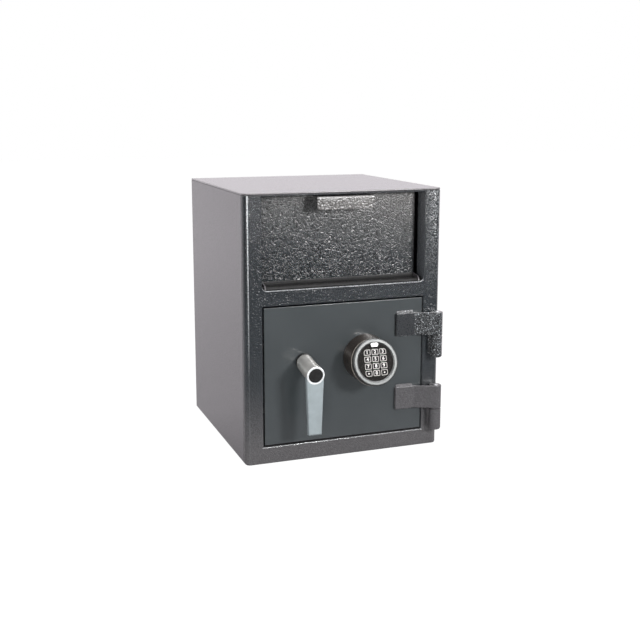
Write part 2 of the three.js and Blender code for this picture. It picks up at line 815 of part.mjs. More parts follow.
function makeLeverHandle() {
  const slant = Math.atan2(headDrop, hubLength);
  const hub = new THREE.CylinderGeometry(
    2 * hubRearRadius - hubFrontRadius, hubFrontRadius, hubLength * 2, roundSteps,
  );
  hub.rotateX(slant);
  hub.translate(handleX, hubBack, lockLineHeight);
  const hubLimits = box(
    handleX - headRadius, handleX + headRadius, headBack - bladeThickness / 2, hubBack,
    lockLineHeight - hubLength, lockLineHeight + hubLength,
  );
  const head = tipHead(rodAlongY(handleX, headZ, headRadius, headFront, headBack, roundSteps));
  const blade = running(polygon([
    [handleX - bladeEndWidth / 2, headZ - bladeLength],
    [handleX + bladeEndWidth / 2, headZ - bladeLength],
    [handleX + headRadius - seam, headZ],
    [handleX - headRadius + seam, headZ],
  ]), headBack - bladeThickness, headBack);
  const recess = tipHead(rodAlongY(
    handleX, headZ, capRadius + slip, headFront - overrun, headFront + capSink + capThickness + slip,
  ));
  const bore = rodAlongY(
    handleX, lockLineHeight, spindleRadius + slip, hubBack - spindleGrip, hubBack + overrun, smallSteps,
  );
  return cut(join(keepWithin(hub, hubLimits), head, blade), recess, bore);
}

function makeHandleCap() {
  const y0 = headFront + capSink;
  return tipHead(rodAlongY(handleX, headZ, capRadius, y0, y0 + capThickness));
}

function makeSpindle() {
  const end = boltY - carriageThickness / 2 - overrun;
  const start = hubBack - spindleGrip + slip;
  return rodAlongY(handleX, lockLineHeight, spindleRadius, start, end - slip, smallSteps);
}

// The keypad's head faces up a little: its pieces are drawn upright and tipped about the housing's front
function tipKeypad(geometry) {
  return tipped(geometry, keypadTilt, housingFront, keypadZ);
}

function makeKeypadHousing() {
  const back = frontY - slip;
  const floor = back - housingBack;
  const bore = keypadRadius - housingWall;
  const cavity = bore - ledgeWidth;
  const boardSeat = boardFront + boardThickness + slip;
  const neck = boardSeat + ledgeWidth;
  const keypadRod = (radius, y0, y1, steps = fineSteps) => rodAlongY(
    keypadX, keypadZ, radius, y0, y1, steps,
  );
  const outside = hullOf(
    tipKeypad(keypadRod(keypadRadius, housingFront, neck)), keypadRod(keypadRadius, floor, back),
  );
  const inside = hullOf(
    tipKeypad(keypadRod(cavity, boardSeat - overrun, neck)), keypadRod(cavity, floor - overrun, floor),
  );
  const grooves = [1, 2].map((count) => {
    const y = housingFront + grooveWidth * (2 * count);
    return tipKeypad(turnedAlongY([
      [keypadRadius - grooveDepth, y], [keypadRadius + overrun, y],
      [keypadRadius + overrun, y + grooveWidth], [keypadRadius - grooveDepth, y + grooveWidth],
      [keypadRadius - grooveDepth, y],
    ], keypadX, keypadZ));
  });
  return cut(
    outside, inside, tipKeypad(keypadRod(bore, housingFront - overrun, boardSeat)),
    keypadRod(cableHoleRadius, floor - overrun, back + overrun, roundSteps), ...grooves,
  );
}

function makeKeypadBezel() {
  const back = keypadFront + bezelLength;
  const inner = plateRadius + slip;
  const ledge = inner - ledgeWidth;
  const ledgeFront = plateFront + plateThickness + seam;
  const round = Array.from({ length: bendSteps + 1 }, (_, step) => {
    const angle = Math.PI / 2 * step / bendSteps;
    return [
      keypadRadius - bezelRound + bezelRound * Math.sin(angle),
      keypadFront + bezelRound - bezelRound * Math.cos(angle),
    ];
  });
  return tipKeypad(turnedAlongY([
    [inner, keypadFront + grooveWidth], [inner + grooveWidth * 2, keypadFront], ...round,
    [keypadRadius, back], [ledge, back], [ledge, ledgeFront], [inner, ledgeFront],
    [inner, keypadFront + grooveWidth],
  ], keypadX, keypadZ));
}

// Outline of one key or, grown by the slip, of its window
function keyOutline({ column, row }, grow) {
  const x = keypadX + column * keyPitchX;
  const z = keypadZ - keyRowsDrop - row * keyPitchZ;
  const plain = keyCorner + grow;
  const outer = keyOuterCorner + grow;
  const top = row < -1;
  const low = row > 1;
  return roundedRect(
    x - keyWidth / 2 - grow, x + keyWidth / 2 + grow, z - keyHeight / 2 - grow, z + keyHeight / 2 + grow,
    [
      low && column < 0 ? outer : plain,
      low && column > 0 ? outer : plain,
      top && column > 0 ? outer : plain,
      top && column < 0 ? outer : plain,
    ],
  );
}

// Outline of the tab that sits above the keys, its top edge following the round plate
function tabOutline() {
  const top = keypadZ + plateRadius - slip - seam;
  const low = top - tabHeight;
  const half = tabTopWidth / 2;
  const lowHalf = tabBottomWidth / 2;
  const sag = plateRadius - Math.sqrt(plateRadius ** 2 - half ** 2);
  const outline = new THREE.Shape();
  outline.moveTo(keypadX - lowHalf, low);
  outline.lineTo(keypadX + lowHalf, low);
  outline.lineTo(keypadX + half, top - sag);
  outline.quadraticCurveTo(keypadX, top + sag, keypadX - half, top - sag);
  outline.closePath();
  return outline;
}

function makeKeypadPlate() {
  const disc = rodAlongY(
    keypadX, keypadZ, plateRadius, plateFront, plateFront + plateThickness, fineSteps,
  );
  return tipKeypad(cut(disc, ...keys.map((key) => running(
    keyOutline(key, slip), plateFront - overrun, plateFront + plateThickness + overrun, cornerSteps,
  ))));
}

function makeKey(key) {
  return tipKeypad(running(keyOutline(key, 0), keyFront, keyFront + keyLength, cornerSteps));
}

function makeKeypadTab() {
  return tipKeypad(running(tabOutline(), plateFront - tabProud - seam, plateFront - seam));
}

function makeKeypadBoard() {
  const radius = keypadRadius - housingWall - slip;
  return tipKeypad(rodAlongY(keypadX, keypadZ, radius, boardFront, boardFront + boardThickness));
}

function makeLockCable() {
  const behindBoard = (boardFront + boardThickness - housingFront) / Math.cos(keypadTilt);
  const front = housingFront + behindBoard + cableRadius * Math.tan(keypadTilt) + slip;
  return rodAlongY(keypadX, keypadZ, cableRadius, front, doorBack, smallSteps);
}

function makeBattery() {
  const back = frontY - slip - housingBack - slip;
  const middle = keypadZ - batteryDrop;
  return box(
    keypadX - batteryWidth / 2, keypadX + batteryWidth / 2, back - batteryLength, back,
    middle - batteryHeight / 2, middle + batteryHeight / 2,
  );
}

function makeFixingPlug(side) {
  const x = side * fixingHoleSpacing / 2;
  return join(
    rodAlongZ(x, 0, plugHeadRadius, sheet + seam, sheet + seam + plugHeadHeight, smallSteps),
    rodAlongZ(x, 0, fixingHoleRadius - slip, sheet + overrun - plugStemHeight, sheet + overrun, smallSteps),
  );
}

// The fixed body
add('front_frame', makeFrontFrame(), hammered);
add('body_wrap', makeBodyWrap(), hammered);
add('top_panel', makeTopPanel(), hammered);
add('back_panel', makeBackPanel(), hammered);
add('chute_apron', makeChuteApron(), hammered);
add('rear_deflector', makeRearDeflector(), hammered);
add('top_baffle', makeTopBaffle(), hammered);
add('hopper_stop', makeHopperStop(), hammered);
add('hopper_pivot_rod', rodAlongX(
  pivotY, pivotZ, pivotRadius, -openingHalf - sheet - pivotBearing, openingHalf + sheet + pivotBearing,
  smallSteps,
), zincSteel);
for (const [name, side] of [['left', -1], ['right', 1]]) {
  add(`fixing_plug_${name}`, makeFixingPlug(side), blackPlastic);
}

// Both hinges, each with a fixed knuckle, a pin and the strap that is welded to the door
for (const [name, base] of Object.entries(hingeBases)) {
  const barrelBase = base + knuckleHeight + knuckleGap;
  const barrelTop = barrelBase + barrelHeight;
  const knuckle = standing(barrelOutline(false), base, base + knuckleHeight, roundSteps);
  const barrel = circle(hingeX, hingeY, barrelRadius);
  barrel.holes.push(circle(hingeX, hingeY, pinRadius + slip));
  const strap = join(
    standing(barrelOutline(true), barrelTop - strapHeight, barrelTop, roundSteps),
    standing(barrel, barrelBase, barrelTop, roundSteps),
  );
  add(`hinge_knuckle_${name}`, knuckle, hammered);
  add(`hinge_strap_${name}`, strap, hammered);
  add(`hinge_pin_${name}`, rodAlongZ(
    hingeX, hingeY, pinRadius, base + pinProud, barrelTop + pinProud, smallSteps,
  ), zincSteel);
}

// The hopper
add('hopper_face', makeHopperFace(), hammered);
add('hopper_lip', makeHopperLip(), hammered);
add('hopper_side_left', makeHopperSide(-1), hammered);
add('hopper_side_right', makeHopperSide(1), hammered);
add('hopper_floor', makeHopperFloor(), hammered);

// The door, its hinge side bar and the cover of its bolt work
add('door_plate', makeDoorPlate(), satinPaint);
add('door_pan', makeDoorPan(), hammered);
screwPlaces.forEach((place, index) => add(`pan_screw_${index + 1}`, makeScrew(place), zincSteel));
add('dead_bar', makeDeadBar(), zincSteel);
add('bolt_guide', makeBoltGuide(), zincSteel);
add('spindle_bush', makeSpindleBush(), brass);
add('lock_case', makeLockCase(), zincSteel);
add('lock_cable', makeLockCable(), blackPlastic);

// The lever handle and what turns with it
add('lever_handle', makeLeverHandle(), satinChrome);
add('handle_cap', makeHandleCap(), blackPlastic);
add('handle_spindle', makeSpindle(), zincSteel);
add('crank', makeCrank(), zincSteel);

// The sliding bolt work, and the lock bolt that follows it
add('bolt_carriage', makeBoltCarriage(), zincSteel);
['lower', 'upper'].forEach((name, index) => add(`locking_bolt_${name}`, rodAlongX(
  boltY, boltHeights[index], boltRadius, boltTipX, boltTipX + boltLength,
), satinChrome));
add('lock_bolt', lockBoltBox(caseLeft - lockBoltProud, caseLeft - lockBoltProud + lockBoltLength, 0), brass);

// The keypad
add('keypad_housing', makeKeypadHousing(), darkHousing);
add('keypad_bezel', makeKeypadBezel(), satinChrome);
add('keypad_plate', makeKeypadPlate(), blackPlastic);
add('keypad_tab', makeKeypadTab(), satinChrome);
add('keypad_board', makeKeypadBoard(), greenBoard);
add('battery', makeBattery(), blackPlastic);
keys.forEach((key) => add(`key_${key.name}`, makeKey(key), blackPlastic));

export default safe;
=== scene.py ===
"""Looks of the drop safe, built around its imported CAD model.

Sizes are written in millimetres in the CAD frame: +Z is up, the front faces -Y, and
the origin is the middle of the underside. Meshes turn into metres when they are placed.
"""
import logging
import math
from dataclasses import dataclass
from enum import Enum
from typing import Callable, Sequence

import bmesh
import bpy
from mathutils import Matrix, Quaternion, Vector, noise


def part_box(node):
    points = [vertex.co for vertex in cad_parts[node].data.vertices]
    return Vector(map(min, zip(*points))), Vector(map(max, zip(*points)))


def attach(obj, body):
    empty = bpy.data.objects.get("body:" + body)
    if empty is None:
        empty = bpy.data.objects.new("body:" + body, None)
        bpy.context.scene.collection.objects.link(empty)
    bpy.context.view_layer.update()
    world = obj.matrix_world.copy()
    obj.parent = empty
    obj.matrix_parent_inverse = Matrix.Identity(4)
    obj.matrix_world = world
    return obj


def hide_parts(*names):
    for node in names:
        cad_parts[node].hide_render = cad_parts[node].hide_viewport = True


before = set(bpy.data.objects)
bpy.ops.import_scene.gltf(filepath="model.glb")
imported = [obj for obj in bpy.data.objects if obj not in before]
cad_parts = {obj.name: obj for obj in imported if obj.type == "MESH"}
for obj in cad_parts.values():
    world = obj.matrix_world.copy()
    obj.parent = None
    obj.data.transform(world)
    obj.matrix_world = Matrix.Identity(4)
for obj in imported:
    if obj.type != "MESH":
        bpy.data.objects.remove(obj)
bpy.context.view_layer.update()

log = logging.getLogger("safe")

MM = 0.001
Point = tuple[float, float]
Corner = tuple[float, float, float]
Colour = tuple[float, float, float]
Mesh = bmesh.types.BMesh
Sockets = dict[str | int, object]

WHITE = (1.0, 1.0, 1.0)
BLACK = (0.0, 0.0, 0.0)
NOISE_RANGE = (0.3, 0.7)
WELD_DISTANCE = 0.002
NODE_WELD = 0.01
TINY = 1e-3


class Plane(Enum):
    """The plane an outline is drawn in. It is extruded along the remaining axis."""

    XY = "z"
    XZ = "y"
    YZ = "x"

    def place(self, a: float, b: float, depth: float) -> Vector:
        """The point in space of an outline's point (a, b) at a depth along the remaining axis."""
        if self is Plane.XY:
            return Vector((a, b, depth))
        if self is Plane.XZ:
            return Vector((a, depth, b))
        return Vector((depth, a, b))


def operator(operation: str, reflected: bool = False) -> Callable[["Port", "Port | float"], "Port"]:
    """A method of Port that adds one Math node, with the Port as its second value where reflected."""

    def method(self: "Port", other: "Port | float") -> "Port":
        """Adds the node and returns its result."""
        values = (other, self) if reflected else (self, other)
        return self.recipe.node("ShaderNodeMath", {"operation": operation}, dict(enumerate(values)))

    return method


class Port:
    """A shader socket whose arithmetic adds Math nodes to its recipe."""

    def __init__(self, recipe: "Recipe", socket: bpy.types.NodeSocket) -> None:
        """Keeps the socket with the recipe that it belongs to."""
        self.recipe = recipe
        self.socket = socket

    __add__ = operator("ADD")
    __radd__ = operator("ADD", reflected=True)
    __sub__ = operator("SUBTRACT")
    __rsub__ = operator("SUBTRACT", reflected=True)
    __mul__ = operator("MULTIPLY")
    __rmul__ = operator("MULTIPLY", reflected=True)
    largest = operator("MAXIMUM")


class Recipe:
    """The node tree of one material, or of the world."""

    def __init__(self, tree: bpy.types.NodeTree) -> None:
        """Empties the tree and takes it over."""
        self.tree = tree
        self.tree.nodes.clear()

    def node(
        self,
        kind: str,
        settings: dict[str, object] | None = None,
        inputs: Sockets | None = None,
        output: str | int = 0,
    ) -> Port:
        """Adds one node.

        Args:
            kind: the node's Blender type.
            settings: what is set on the node before its sockets, with a ramp's colours under "stops".
            inputs: a value or a Port for each named or numbered socket.
            output: name or number of the socket to return.

        Returns:
            The chosen output socket, or the first input where the node has no output.
        """
        made = self.tree.nodes.new(kind)
        for key, value in (settings or {}).items():
            if key == "stops":
                self._set_stops(made.color_ramp, value)
            else:
                setattr(made, key, value)
        for key, value in (inputs or {}).items():
            socket = made.inputs[key]
            if isinstance(value, Port):
                self.tree.links.new(value.socket, socket)
            elif isinstance(value, tuple) and socket.type == "RGBA":
                socket.default_value = (*value[:3], 1.0)
            else:
                socket.default_value = value
        return Port(self, made.outputs[output] if made.outputs else made.inputs[0])

    @staticmethod
    def _set_stops(ramp: bpy.types.ColorRamp, stops: Sequence[tuple[float, Colour]]) -> None:
        """Gives a colour ramp its stops."""
        while len(ramp.elements) < len(stops):
            ramp.elements.new(1.0)
        for element, (position, colour) in zip(ramp.elements, stops):
            element.position = position
            element.color = (*colour, 1.0)

    def place(self, kind: str = "Object") -> Port:
        """The point on the piece in metres, or another output of the Texture Coordinate node."""
        return self.node("ShaderNodeTexCoord", output=kind)

    def vector(self, operation: str, first: Port, second: object = None, output: str | int = 0) -> Port:
        """Adds one Vector Math node. Its second value is a number where the operation is SCALE."""
        inputs: Sockets = {0: first}
        if second is not None:
            inputs["Scale" if operation == "SCALE" else 1] = second
        return self.node("ShaderNodeVectorMath", {"operation": operation}, inputs, output)

    def texture(self, cell: float, at: Port | None, **inputs: float) -> Sockets:
        """The inputs of a texture with features of a size in millimetres, at a point on the piece."""
        return {"Vector": at or self.place(), "Scale": 1 / (cell * MM), **inputs}

    def noise(
        self, cell: float, detail: float = 2.0, rough: float = 0.5, at: Port | None = None,
        output: str | int = 0,
    ) -> Port:
        """Soft noise with features of about the given size in millimetres, from 0 to 1."""
        inputs = self.texture(cell, at, Detail=detail, Roughness=rough)
        return self.node("ShaderNodeTexNoise", inputs=inputs, output=output)

    def cells(self, cell: float, smoothness: float = 0.0, at: Port | None = None) -> Port:
        """Distance from the middle of each cell of the given size in millimetres."""
        if not smoothness:
            return self.node("ShaderNodeTexVoronoi", {"feature": "F1"}, self.texture(cell, at))
        inputs = self.texture(cell, at, Smoothness=smoothness)
        return self.node("ShaderNodeTexVoronoi", {"feature": "SMOOTH_F1"}, inputs)

    def warped(self, cell: float, amount: float) -> Port:
        """The point on the piece, pushed about by noise of the given size and strength in millimetres."""
        centred = self.vector("SUBTRACT", self.noise(cell, 1.0, output="Color"), (0.5, 0.5, 0.5))
        return self.vector("ADD", self.place(), self.vector("SCALE", centred, amount * MM))

    def along(self, axis: str, at: Port | None = None) -> Port:
        """One coordinate, X, Y or Z, of a point on the piece."""
        return self.node("ShaderNodeSeparateXYZ", inputs={0: at or self.place()}, output=axis)

    def ramp(self, value: Port, *stops: tuple[float, Colour]) -> Port:
        """Colours a value by stops."""
        return self.node("ShaderNodeValToRGB", {"stops": stops}, {"Fac": value})

    def between(
        self, value: Port, low: float, high: float, to_low: float = 0.0, to_high: float = 1.0,
    ) -> Port:
        """Maps a value from one range to another and holds it there."""
        inputs = {"Value": value, "From Min": low, "From Max": high, "To Min": to_low, "To Max": to_high}
        return self.node("ShaderNodeMapRange", inputs=inputs)

    def blend(self, mask: Port, first: "Colour | Port", second: "Colour | Port") -> Port:
        """Goes from the first colour to the second as the mask goes from 0 to 1."""
        return self.node("ShaderNodeMix", {"data_type": "RGBA"}, {"Factor": mask, 6: first, 7: second}, 2)

    def bump(self, height: Port, depth: float) -> Port:
        """A normal from a height of 0 to 1 that is the given depth in millimetres."""
        inputs = {"Height": height, "Distance": depth * MM, "Strength": 1.0}
        return self.node("ShaderNodeBump", inputs=inputs, output="Normal")

    def rays(self) -> list[Port]:
        """Masks of the camera's own rays, of mirrored rays and of rays that come through glass."""
        kinds = ("Camera", "Glossy", "Transmission")
        return [self.node("ShaderNodeLightPath", output=f"Is {kind} Ray") for kind in kinds]


@dataclass(frozen=True)
class Finish:
    """A plain finish. Other finishes add their texture to it."""

    name: str
    colour: Colour
    roughness: float = 0.4
    metallic: float = 0.0
    coat: float = 0.0
    coat_roughness: float = 0.1
    specular: float = 0.5

    def material(self) -> bpy.types.Material:
        """Makes the finish's material, once."""
        made = bpy.data.materials.get(self.name)
        if made:
            return made
        made = bpy.data.materials.new(self.name)
        made.use_nodes = True
        made.diffuse_color = (*self.colour, 1.0)
        recipe = Recipe(made.node_tree)
        inputs: Sockets = {
            "Base Color": self.colour,
            "Roughness": self.roughness,
            "Metallic": self.metallic,
            "Coat Weight": self.coat,
            "Coat Roughness": self.coat_roughness,
            "Specular IOR Level": self.specular,
        }
        inputs.update(self.texture(recipe))
        surface = recipe.node("ShaderNodeBsdfPrincipled", inputs=inputs)
        recipe.node("ShaderNodeOutputMaterial", inputs={"Surface": surface})
        return made

    def texture(self, recipe: Recipe) -> Sockets:
        """What varies over the surface, by shader socket."""
        return {"Roughness": self.uneven(recipe, recipe.noise(9.0), 0.04, 0.04)}

    def uneven(self, recipe: Recipe, value: Port, less: float, more: float) -> Port:
        """Roughness that follows a noise, from a little less to a little more than the finish's own."""
        return recipe.between(value, *NOISE_RANGE, self.roughness - less, self.roughness + more)

    def shade(self, factor: float) -> Colour:
        """The finish's colour, lighter or darker by a factor."""
        return tuple(min(1.0, channel * factor) for channel in self.colour)


FLECKS = (0.60, 0.72)
VALLEYS = (0.2, 0.7)
PEBBLES = (0.32, 0.68)
# Ranges of the masks for the painted edge highlights and the lit right jamb.
EDGE_DOTS = (0.34, 0.54)
EDGE_SPECKS = (0.5, 0.66)
LEFT_TURN = ((-0.37, -0.3), (-0.12, -0.2))
LEFT_EDGE = (-0.160, -0.163)
LEFT_FADE = (0.15, 0.43)
SILL_TURN = (0.1, 0.3)
SILL_LIMIT = (0.43, 0.42)
SILL_SHARE = 0.3
RIGHT_EDGE = (0.146, 0.160)
RIGHT_FADE = (0.26, 0.43)
RIGHT_SHARE = 0.4
# Painted light on the right jamb's inner face, which faces left into the hopper opening.
JAMB_TURN = (-0.8, -0.95)
JAMB_FROM = (0.1, 0.12)
LIT_JAMB_TONE = (0.075, 0.080, 0.088)
# Colour of the painted highlights along the frame's edges.
EDGE_HIGHLIGHT_TONE = (0.62, 0.64, 0.66)


@dataclass(frozen=True)
class Hammered(Finish):
    """Hammer enamel: pebbly domes with fine valleys and a trace of metallic fleck."""

    roughness: float = 0.34
    coat: float = 0.3
    coat_roughness: float = 0.2
    cell: float = 2.6
    depth: float = 0.2
    contrast: float = 0.12
    sparkle: float = 0.15
    # Turns on the frame's painted edge light: a lightened right jamb and painted edge highlights.
    painted_edge_light: bool = False
    # Stops of painted light and shade by height, the slant of their line, and the coat's share at the lowest
    # stop.
    painted_light_stops: tuple[tuple[float, Colour], ...] = ()
    slant: float = 0.0
    coat_low: float = 1.0
    push: float = 0.9
    ripple: float = 0.45
    fleck: float = 1.1
    fleck_shade: float = 4.5
    pebbled: bool = False

    def painted_edge_highlights(self, recipe: Recipe) -> Port:
        """Painted highlights, dotted, along the edges that face left on the outside, at the sills and up on
        the right.
        """
        facing = recipe.place("Normal")
        across, place, height = recipe.along("X", facing), recipe.along("X"), recipe.along("Z")
        left = recipe.between(across, *LEFT_TURN[0]) * recipe.between(across, *LEFT_TURN[1])
        outside = recipe.between(place, *LEFT_EDGE) * recipe.between(height, *LEFT_FADE, 0.04, 1.0)
        up = recipe.along("Z", facing) * recipe.along("Y", facing) * -1.0
        sills = recipe.between(up, *SILL_TURN) * recipe.between(height, *SILL_LIMIT) * SILL_SHARE
        dots = recipe.between(recipe.noise(1.9), *EDGE_DOTS)
        right = recipe.between(place, *RIGHT_EDGE) * recipe.between(height, *RIGHT_FADE)
        specks = recipe.between(recipe.noise(2.2), *EDGE_SPECKS)
        return ((left * outside).largest(sills) * dots).largest(right * specks * RIGHT_SHARE)

    def painted_light_by_height(self, recipe: Recipe, valley: Port) -> dict[str, Port]:
        """Painted light and shade: colour and coat that change with height, along a line that may slant."""
        low, high = self.painted_light_stops[0][0], self.painted_light_stops[-1][0]
        share = recipe.between(recipe.along("Z") + recipe.along("X") * self.slant, low, high)
        painted_tone = recipe.ramp(share, *(((spot - low) / (high - low), colour) for spot, colour in self.painted_light_stops))
        return {
            "Base Color": recipe.blend(valley * (2 * self.contrast), painted_tone, BLACK),
            "Coat Weight": recipe.between(share, 0.0, 1.0, self.coat * self.coat_low, self.coat),
        }

    def texture(self, recipe: Recipe) -> Sockets:
        """Domes, fine grain and flecks, with painted light and shade where asked."""
        at = recipe.warped(self.cell * 1.7, self.cell * self.push)
        cells = recipe.cells(self.cell, 0.35, at)
        dome = 1 - cells * cells * 1.6
        ripple = recipe.noise(self.cell * 0.8, 2.0, 0.55)
        height = dome * 0.75 + ripple * self.ripple
        valley = recipe.between(cells, *VALLEYS)
        if self.pebbled:
            height = recipe.between(recipe.noise(self.cell, 0.0), *PEBBLES)
            valley = 1 - height
        fleck = recipe.between(recipe.noise(self.fleck, 1.0), *FLECKS)
        base = recipe.blend(valley, self.shade(1.0 + self.contrast), self.shade(1.0 - self.contrast))
        # Painted light and shade by height where stops are given.
        varied = self.painted_light_by_height(recipe, valley) if self.painted_light_stops else {"Base Color": base}
        flecked = recipe.blend(fleck * self.sparkle, varied["Base Color"], self.shade(self.fleck_shade))
        if self.painted_edge_light:
            # Painted light: the right jamb's inner face is lightened as if lit.
            facing_left = recipe.between(recipe.along("X", recipe.place("Normal")), *JAMB_TURN)
            lit_jamb = facing_left * recipe.between(recipe.along("X"), *JAMB_FROM)
            flecked = recipe.blend(lit_jamb, flecked, LIT_JAMB_TONE)
            # Painted highlights along the left corner, the sills and the upper right.
            flecked = recipe.blend(self.painted_edge_highlights(recipe), flecked, EDGE_HIGHLIGHT_TONE)
        return {
            **varied,
            "Base Color": flecked,
            "Roughness": self.uneven(recipe, ripple, 0.06, 0.08),
            "Normal": recipe.bump(height, self.depth),
        }


@dataclass(frozen=True)
class SatinEnamel(Finish):
    """Smooth sprayed enamel with a fine orange peel."""

    peel: float = 1.9
    depth: float = 0.02

    def texture(self, recipe: Recipe) -> Sockets:
        """Peel, a broad mottle and a very fine fleck."""
        peel = recipe.noise(self.peel, 2.0, 0.45)
        broad = recipe.noise(80.0, 3.0)
        fleck = recipe.between(recipe.noise(0.5, 1.0), 0.66, 0.76)
        mottled = recipe.blend(recipe.between(broad, *NOISE_RANGE), self.shade(0.95), self.shade(1.05))
        return {
            "Base Color": recipe.blend(fleck * 0.2, mottled, self.shade(1.8)),
            "Roughness": self.uneven(recipe, broad, 0.03, 0.03),
            "Normal": recipe.bump(peel, self.depth),
        }


class Lay(Enum):
    """Which way a metal's fine marks run, as how often they repeat along each axis."""

    BLASTED = (1.0, 1.0, 1.0)
    TURNED = (1.0, 8.0, 1.0)
    DRAWN = (1.0, 1.0, 0.06)


@dataclass(frozen=True)
class Metal(Finish):
    """Bare or plated metal with fine marks of its making."""

    metallic: float = 1.0
    lay: Lay = Lay.BLASTED
    grain: float = 0.35
    depth: float = 0.006
    stain: float = 0.08

    def texture(self, recipe: Recipe) -> Sockets:
        """Marks of the making, and a faint stain."""
        at = recipe.vector("MULTIPLY", recipe.place(), self.lay.value)
        marks = recipe.noise(self.grain, 2.0, 0.6, at)
        clean = recipe.between(recipe.noise(14.0, 3.0), 0.35, 0.7)
        return {
            "Base Color": recipe.blend(clean, self.shade(1 - self.stain), self.shade(1 + self.stain * 0.5)),
            "Roughness": self.uneven(recipe, marks, 0.05, 0.07),
            "Normal": recipe.bump(marks, self.depth),
        }


@dataclass(frozen=True)
class Plastic(Finish):
    """Moulded plastic with a spark-eroded grain."""

    grain: float = 0.6
    depth: float = 0.03
    speckle: float = 0.0

    def texture(self, recipe: Recipe) -> Sockets:
        """Grain, and paler speckles where the plastic has them."""
        grain = recipe.noise(self.grain, 2.0, 0.6)
        dots = recipe.between(recipe.noise(self.grain * 1.6, 1.0), 0.56, 0.7)
        return {
            "Base Color": recipe.blend(dots * self.speckle, self.colour, self.shade(7.0)),
            "Roughness": self.uneven(recipe, grain, 0.05, 0.08),
            "Normal": recipe.bump(grain, self.depth),
        }


@dataclass(frozen=True)
class CircuitBoard(Finish):
    """Green solder resist over copper tracks."""

    def texture(self, recipe: Recipe) -> Sockets:
        """Tracks that run both ways, raised a little."""
        edge = recipe.between(recipe.cells(6.0), 0.42, 0.5)
        return {
            "Base Color": recipe.blend(edge, self.colour, self.shade(1.9)),
            "Normal": recipe.bump(edge, 0.04),
        }


# Lit copy of the enamel with strong bright flecks, for the upper hinge's ramp, barrel and welds: painted
# highlights and glints.
HAMMERED = Hammered(
    "hammered_enamel", (0.032, 0.034, 0.036), roughness=0.16, coat=0.9, coat_roughness=0.08,
    cell=3.4, depth=0.7, contrast=0.4, sparkle=0.8, push=0.4, ripple=0.2, fleck=1.7, fleck_shade=14.0,
)
# Shaded copy of the enamel for the upper hinge's flat: painted shade.
HAMMERED_CALM = Hammered(
    "hammered_enamel_calm", (0.020, 0.022, 0.025), roughness=0.3, cell=2.4, contrast=0.1, sparkle=0.1,
)
# Darker, unglossy copy of the enamel for the hopper face's foot bend and the pivot rod: painted shade in the
# gap above the sill.
HAMMERED_TOE = Hammered(
    "hammered_enamel_toe", (0.014, 0.014, 0.014), roughness=0.45, coat=0.0, coat_roughness=0.1,
    specular=0.2, cell=2.5, depth=0.3, contrast=0.15,
)
# The front frame's stops are painted shading: lighter at the foot as if lit from the floor, darker towards
# the top; its edges get painted light.
HAMMERED_FRAME = Hammered(
    "hammered_enamel_frame", (0.026, 0.030, 0.034), roughness=0.19, coat=0.5, coat_roughness=0.09,
    cell=2.2, depth=0.34, contrast=0.15, sparkle=0.3, painted_edge_light=True,
    painted_light_stops=(
        (0.02, (0.088, 0.085, 0.088)), (0.14, (0.030, 0.034, 0.038)), (0.24, (0.022, 0.026, 0.030)),
        (0.32, (0.015, 0.018, 0.021)),
    ),
)
# The hopper face's stops are painted light: dark at the lower left, bright at the upper right, with less coat
# low down.
HAMMERED_DEEP = Hammered(
    "hammered_enamel_deep", (0.025, 0.027, 0.028), roughness=0.2, coat=0.8, coat_roughness=0.1, coat_low=0.25,
    cell=2.05, depth=0.33, contrast=0.32, fleck=1.7, fleck_shade=7.0, pebbled=True, slant=0.2,
    painted_light_stops=(
        (0.31, (0.014, 0.017, 0.020)), (0.35, (0.025, 0.028, 0.031)), (0.40, (0.052, 0.054, 0.055)),
        (0.45, (0.110, 0.107, 0.105)),
    ),
)
# A paler copy of the enamel for the pull lip: painted light, as its face catches the light from above.
HAMMERED_LIP = Hammered(
    "hammered_enamel_lip", (0.094, 0.090, 0.088), roughness=0.2, coat=0.7, coat_roughness=0.08,
    cell=3.2, depth=0.5, contrast=0.3, sparkle=0.3, push=0.4, ripple=0.2, fleck=2.0,
)
HAMMERED_FINE = Hammered("hammered_enamel_thin", (0.072, 0.067, 0.073))
# A paler copy of the enamel for the top panel: painted light on the face that looks up.
HAMMERED_TOP = Hammered("hammered_enamel_top", (0.095, 0.088, 0.093), coat=0.8, coat_roughness=0.22)
# The lower hinge's own copy of the enamel, paler than the upper hinge's: painted light.
HINGE_ENAMEL = Hammered(
    "hinge_enamel", (0.062, 0.060, 0.064), roughness=0.36, cell=3.0, depth=0.3, contrast=0.15, sparkle=0.2,
)
DOOR_ENAMEL = SatinEnamel("door_enamel", (0.045, 0.051, 0.054), roughness=0.2, coat=0.4, coat_roughness=0.1)
# The lever is one nickel casting in three copies: the blade's own, a lit copy for the hub and head sides, and
# a painted-highlight copy for the head's front face.
LEVER_METAL = Metal("lever_satin_nickel", (0.42, 0.48, 0.50), roughness=0.46, metallic=0.7)
LEVER_HUB_LIT = Metal("lever_hub_lit_nickel", (0.66, 0.65, 0.62), roughness=0.36, metallic=0.78)
LEVER_HEAD_HIGHLIGHT = Metal("lever_head_highlight_nickel", (0.80, 0.82, 0.83), roughness=0.36, metallic=0.35)
RING_METAL = Metal("bezel_satin_nickel", (0.145, 0.150, 0.148), roughness=0.47, lay=Lay.TURNED)
TAB_METAL = Metal("tab_bright_nickel", (0.52, 0.52, 0.51), roughness=0.42, metallic=0.7)
ZINC = Metal("zinc_plate", (0.55, 0.56, 0.57), roughness=0.36, lay=Lay.DRAWN, stain=0.16)
BOLT_STEEL = Metal("bolt_bright_steel", (0.60, 0.61, 0.62), roughness=0.24, lay=Lay.TURNED)
BRASS = Metal("machined_brass", (0.60, 0.43, 0.20), roughness=0.3, lay=Lay.TURNED)
